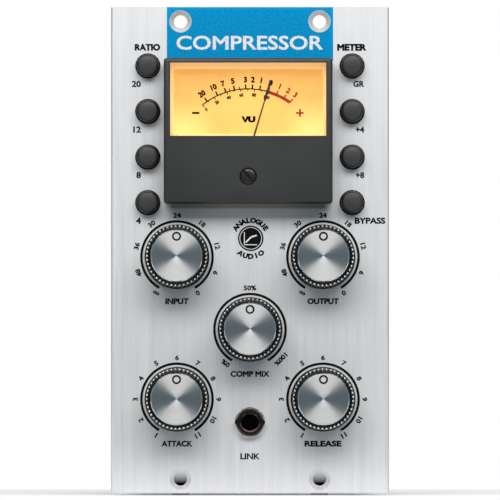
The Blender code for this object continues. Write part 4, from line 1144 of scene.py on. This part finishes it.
class BoardParts:
    """Parts on the main board's component side. Places are (y, z) and lie on the board's face."""

    def __init__(self, face):
        self.face = face
        self.chips, self.caps, self.sleeves, self.films, self.resistors, self.leads = (
            bmesh.new() for _ in range(6)
        )

    def box(self, bm, y, z, half_y, half_z, bottom, top, *rounding):
        low = (self.face + bottom * MM, y - half_y * MM, z - half_z * MM)
        high = (self.face + top * MM, y + half_y * MM, z + half_z * MM)
        block(bm, low, high, *rounding)

    def chip(self, y, z, pins=8):
        half = (pins / 2 - 1) * 1.27 + 1.2
        self.box(self.chips, y, z, half, 3.15, 0.7, 4.0, 0.3 * MM, 1)
        for k in range(pins // 2):
            pin = y - (pins / 2 - 1) * PIN_PITCH / 2 + k * PIN_PITCH
            for side in (-1, 1):
                self.box(self.leads, pin, z + side * 3.525 * MM, 0.3, 0.325, 0, 2.4)

    def capacitor(self, y, z, radius, height):
        """A can in its sleeve, with the groove near its foot and a bare top."""
        r, top = radius * MM, self.face + height * MM
        foot = [(share * r, self.face + up * MM) for share, up in
                ((0, 0.2), (0.96, 0.2), (1, 0.6), (1, 1.4), (0.93, 1.9), (1, 2.4))]
        turned(self.sleeves, foot + [(r, top - 0.5 * MM), (r * 0.9, top), (0, top)], 32, (y, z), "X")
        below, above = top - 0.1 * MM, top + 0.12 * MM
        turned(self.caps, [(0, below), (r * 0.82, below), (r * 0.78, above), (0, above)], 32, (y, z), "X")

    def film(self, y, z):
        self.box(self.films, y, z, 3.6, 1.4, 0.4, 7.0, 0.35 * MM, 2)

    def resistor(self, y, z):
        x = self.face + 1.5 * MM
        half = [(0.9, 1.6), (1.15, 1.9), (1.15, 2.7), (0.8, 3.1), (0, 3.1)]
        body = [(r, -along) for r, along in half[::-1]] + half
        turned(self.resistors, profile_from(z, *body), 16, (x, y), "Z")
        for end in (-1, 1):
            zs = sorted((z + end * 3.0 * MM, z + end * 5.1 * MM))
            foot = z + end * 4.9 * MM
            block(self.leads, (x - LEAD_HALF, y - LEAD_HALF, zs[0]), (x + LEAD_HALF, y + LEAD_HALF, zs[1]))
            block(self.leads, (self.face, y - LEAD_HALF, foot - LEAD_HALF),
                  (x + LEAD_HALF, y + LEAD_HALF, foot + LEAD_HALF))


def electronics():
    """What is seen of the main board through the chassis windows and vents."""
    low, high = box_of("main_board")
    parts = BoardParts(high.x + 0.02 * MM)
    draw = Random(7)
    for column in range(6):
        y = low.y + 8 * MM + column * COLUMN_PITCH
        for row in range(-2, 3):
            z = PANEL_MIDDLE.z + row * ROW_PITCH
            kind = (column + row) % 3
            if kind == 0:
                parts.chip(y, z + 2 * MM)
                parts.film(y, z - 5 * MM)
            elif kind == 1:
                parts.capacitor(y, z + 3 * MM, draw.choice((2.5, 3.1, 4.0)), draw.choice((11.0, 12.5, 7.5)))
                for beside in (-4.5, -1.4, 1.7):
                    parts.resistor(y + beside * MM, z - 4 * MM)
            else:
                for above in (5, 1):
                    parts.film(y, z + above * MM)
                for beside in (-2, 1.2):
                    parts.resistor(y + beside * MM, z - 6 * MM)
    for k in range(3):
        parts.capacitor(high.y - 24 * MM - RESERVOIR_PITCH * k, PANEL_MIDDLE.z, 5.0, 20.0)
    for name, bm, material, smooth, slot in (
        ("chips", parts.chips, CHIP, 40, "housing_black"),
        ("capacitor_tops", parts.caps, CAN_STEEL, 40, "magnet_steel"),
        ("capacitor_sleeves", parts.sleeves, SLEEVE, 35, "housing_black"),
        ("film_capacitors", parts.films, FILM, 40, "housing_black"),
        ("resistors", parts.resistors, RESISTOR, 35, "housing_black"),
        ("leads", parts.leads, TINNED, 40, "nut_nickel"),
    ):
        piece(f"board_{name}", bm, material, smooth=smooth)


def wall_screws():
    """Low screw heads on the tray's left wall, one for each board standoff."""
    wall = box_of("chassis_tray")[0].x
    heads, lengthways, upright = bmesh.new(), bmesh.new(), bmesh.new()
    profile = profile_from(wall, (0, 0), (2.6, 0), (2.6, -0.25), (2.2, -0.62), (1.5, -0.8), (0, -0.8))
    half_long, half_wide = 1.5 * MM, 0.26 * MM
    for end in ("front", "rear"):
        for side in ("lower", "upper"):
            at = middle_of(f"standoff_{end}_{side}")
            turned(heads, profile, 40, (at.y, at.z), "X")
            for slots, y, z in ((lengthways, half_long, half_wide), (upright, half_wide, half_long)):
                block(slots, (wall - 2 * MM, at.y - y, at.z - z), (wall - 0.45 * MM, at.y + y, at.z + z))
    bm = carved(heads, ("DIFFERENCE", lengthways), ("DIFFERENCE", upright))
    piece("wall_screws", bm, NICKEL, smooth=30)


# Stage ----------------------------------------------------------------------

CAMERA_DISTANCE = 2.2
CAMERA_HEIGHT = 14 * MM  # above the panel's lower edge
VIEW_WIDTH = 137.0 * MM  # seen at the panel
SENSOR = 36.0
FLOOR_GAP = 0.5 * MM  # under the panel, for the dark line of its contact shadow
FLOOR_SIDE = 0.30
FLOOR_NEAR, FLOOR_FAR = -0.03, 0.7
FLOOR_GLOW, FAR_GLOW = 0.12, 0.5  # near the object, and where the floor fades into the backdrop
GLOW_CENTRE = 0.07
GLOW_START, GLOW_END = 0.14, 0.36  # from the centre
CARD_HALF = 2.4 * MM
CARD_BEHIND = 30 * MM  # the panel
CARD_THICKNESS = 0.3 * MM
CARD_GLOW = 0.60  # at its upper edge
SOFT_BOX_PLACE = (0.02, -0.63, PANEL_MIDDLE.z + 0.43)
SOFT_BOX_SIZE = (0.95, 0.30)
SOFT_BOX_POWER = 5.0  # watts
FRONT_LIGHT, TOP_LIGHT = 0.20, 0.75
BELOW_DIMMER = 0.6
BOUNCE = 2.4
BEHIND_BRIGHTER = 1.5
SKY_COLOUR = (1.0, 0.985, 0.96)
SIDE_COLOUR = (0.140, 0.195, 0.230)


def stage_piece(name, bm, material):
    mesh = solid(bm, name)
    mesh.materials.append(material)
    placed(name, mesh)


def stage_floor():
    """A pale floor that brightens with distance, so that it has no visible horizon."""
    level = PANEL_LOW.z - FLOOR_GAP
    bm = bmesh.new()
    left, right, near, far = -FLOOR_SIDE, FLOOR_SIDE, FLOOR_NEAR, FLOOR_FAR
    corners = ((left, near), (right, near), (right, far), (left, far))
    bm.faces.new([bm.verts.new((x, y, level)) for x, y in corners])
    f = Finish("pale_floor", (0.90, 0.90, 0.90), 0.75)
    f.set("Emission Color", (1, 1, 1, 1))
    x, y, _ = f.axes()
    away = f.from_middle(x, f.maths("SUBTRACT", y, GLOW_CENTRE))
    f.to("Emission Strength", f.span(away, FLOOR_GLOW, FAR_GLOW, GLOW_START, GLOW_END, smooth=True))
    stage_piece("floor", bm, f.material)


def shadow_cards():
    """Two small cards under the chassis, which stand in for the deep shadow seen through the lower holes."""
    bm = bmesh.new()
    sight = HOLE_SIDEWAYS * (CAMERA_DISTANCE + CARD_BEHIND) / CAMERA_DISTANCE
    back = PANEL_HIGH.y + CARD_BEHIND
    bottom, top = PANEL_LOW.z - FLOOR_GAP + 0.02 * MM, box_of("chassis_tray")[0].z - 0.1 * MM
    for x in (-sight, sight):
        block(bm, (x - CARD_HALF, back, bottom), (x + CARD_HALF, back + CARD_THICKNESS, top))
    f = Finish("shadow_card", (0.002, 0.002, 0.002), 1.0, Specular_IOR_Level=0.0)
    _, _, z = f.axes()
    # painted light and shade: grey glow towards the card's top, black at its foot, for the fall from light to
    # dark seen through the lower holes
    f.to("Emission Strength", f.span(z, 0.0, CARD_GLOW, -1.3 * MM, 1.9 * MM))
    f.set("Emission Color", (1, 1, 1.02, 1))
    stage_piece("shadow_cards", bm, f.material)


def turn_to(made, place, target):
    made.location = place
    made.rotation_euler = (Vector(target) - Vector(place)).to_track_quat("-Z", "Y").to_euler()


def camera():
    """A long lens, low in front, aimed at the panel's middle."""
    data = bpy.data.cameras.new("camera")
    made = placed("camera", data)
    eye = Vector((0, FRONT - CAMERA_DISTANCE, PANEL_LOW.z + CAMERA_HEIGHT))
    target = Vector((0, FRONT, PANEL_MIDDLE.z))
    turn_to(made, eye, target)
    data.sensor_width = SENSOR
    data.lens = SENSOR * (target - eye).length / VIEW_WIDTH
    data.clip_start = 0.05
    data.clip_end = 20
    bpy.context.scene.camera = made


def soft_box():
    data = bpy.data.lights.new("soft_box", "AREA")
    data.shape = "RECTANGLE"
    data.size, data.size_y = SOFT_BOX_SIZE
    data.energy = SOFT_BOX_POWER
    turn_to(placed("soft_box", data), SOFT_BOX_PLACE, PANEL_MIDDLE)


def studio():
    """Light from all round: brightest above and behind, dim and cool to the sides. The camera sees white."""
    world = bpy.data.worlds.new("studio")
    bpy.context.scene.world = world
    world.use_nodes = True
    world.node_tree.nodes.clear()
    n = Nodes(world.node_tree)
    split = n.add("SeparateXYZ")
    n.feed(n.add("TexCoord").outputs["Generated"], split.inputs[0])
    x, y, z = split.outputs
    side, height = n.maths("ABSOLUTE", x), n.maths("ABSOLUTE", z)
    share = n.maths("DIVIDE", side, n.maths("ADD", n.maths("ADD", side, height), 0.02))
    is_side = n.span(share, 0, 1, 0.46, 0.58, smooth=True)
    sideways = n.maths("MULTIPLY", is_side, n.span(side, 0, 1, 0.01, 0.08, smooth=True))
    bright, cool, plain = n.add("Background"), n.add("Background"), n.add("Background")
    for shader, colour in ((bright, SKY_COLOUR), (cool, SIDE_COLOUR), (plain, (1, 1, 1))):
        shader.inputs["Color"].default_value = (*colour, 1)
    behind = n.span(y, 1.0, BEHIND_BRIGHTER, -0.1, 0.35, smooth=True)
    above = n.span(z, BELOW_DIMMER, 1.0, -0.25, 0.05, smooth=True)
    strength = n.maths("MULTIPLY", n.span(height, FRONT_LIGHT, TOP_LIGHT, 0.08, 0.75, smooth=True), above)
    strength = n.maths("MULTIPLY", strength, n.span(z, BOUNCE, 1.0, -0.90, -0.45, smooth=True))
    n.feed(n.maths("MULTIPLY", strength, behind), bright.inputs["Strength"])
    lit, seen, out = n.add("MixShader"), n.add("MixShader"), n.add("OutputWorld")
    for source, target in (
        (sideways, lit.inputs[0]),
        (bright.outputs[0], lit.inputs[1]),
        (cool.outputs[0], lit.inputs[2]),
        (n.add("LightPath").outputs["Is Camera Ray"], seen.inputs[0]),
        (lit.outputs[0], seen.inputs[1]),
        (plain.outputs[0], seen.inputs[2]),
        (seen.outputs[0], out.inputs["Surface"]),
    ):
        n.feed(source, target)
    soft_box()


def main():
    camera()
    stage_floor()
    shadow_cards()
    studio()
    dress_frame()
    for name in KNOBS:
        knob(name)
    for name in RATIO_BUTTONS + METER_BUTTONS:
        button(name)
    print_legends()
    title_band()
    emblem()
    meter_scale()
    scale_baffle()
    scale_surround()
    meter_bezel()
    zero_adjuster()
    link_socket()
    edge_contacts()
    electronics()
    wall_screws()
    bpy.context.scene.view_settings.view_transform = "Standard"


main()
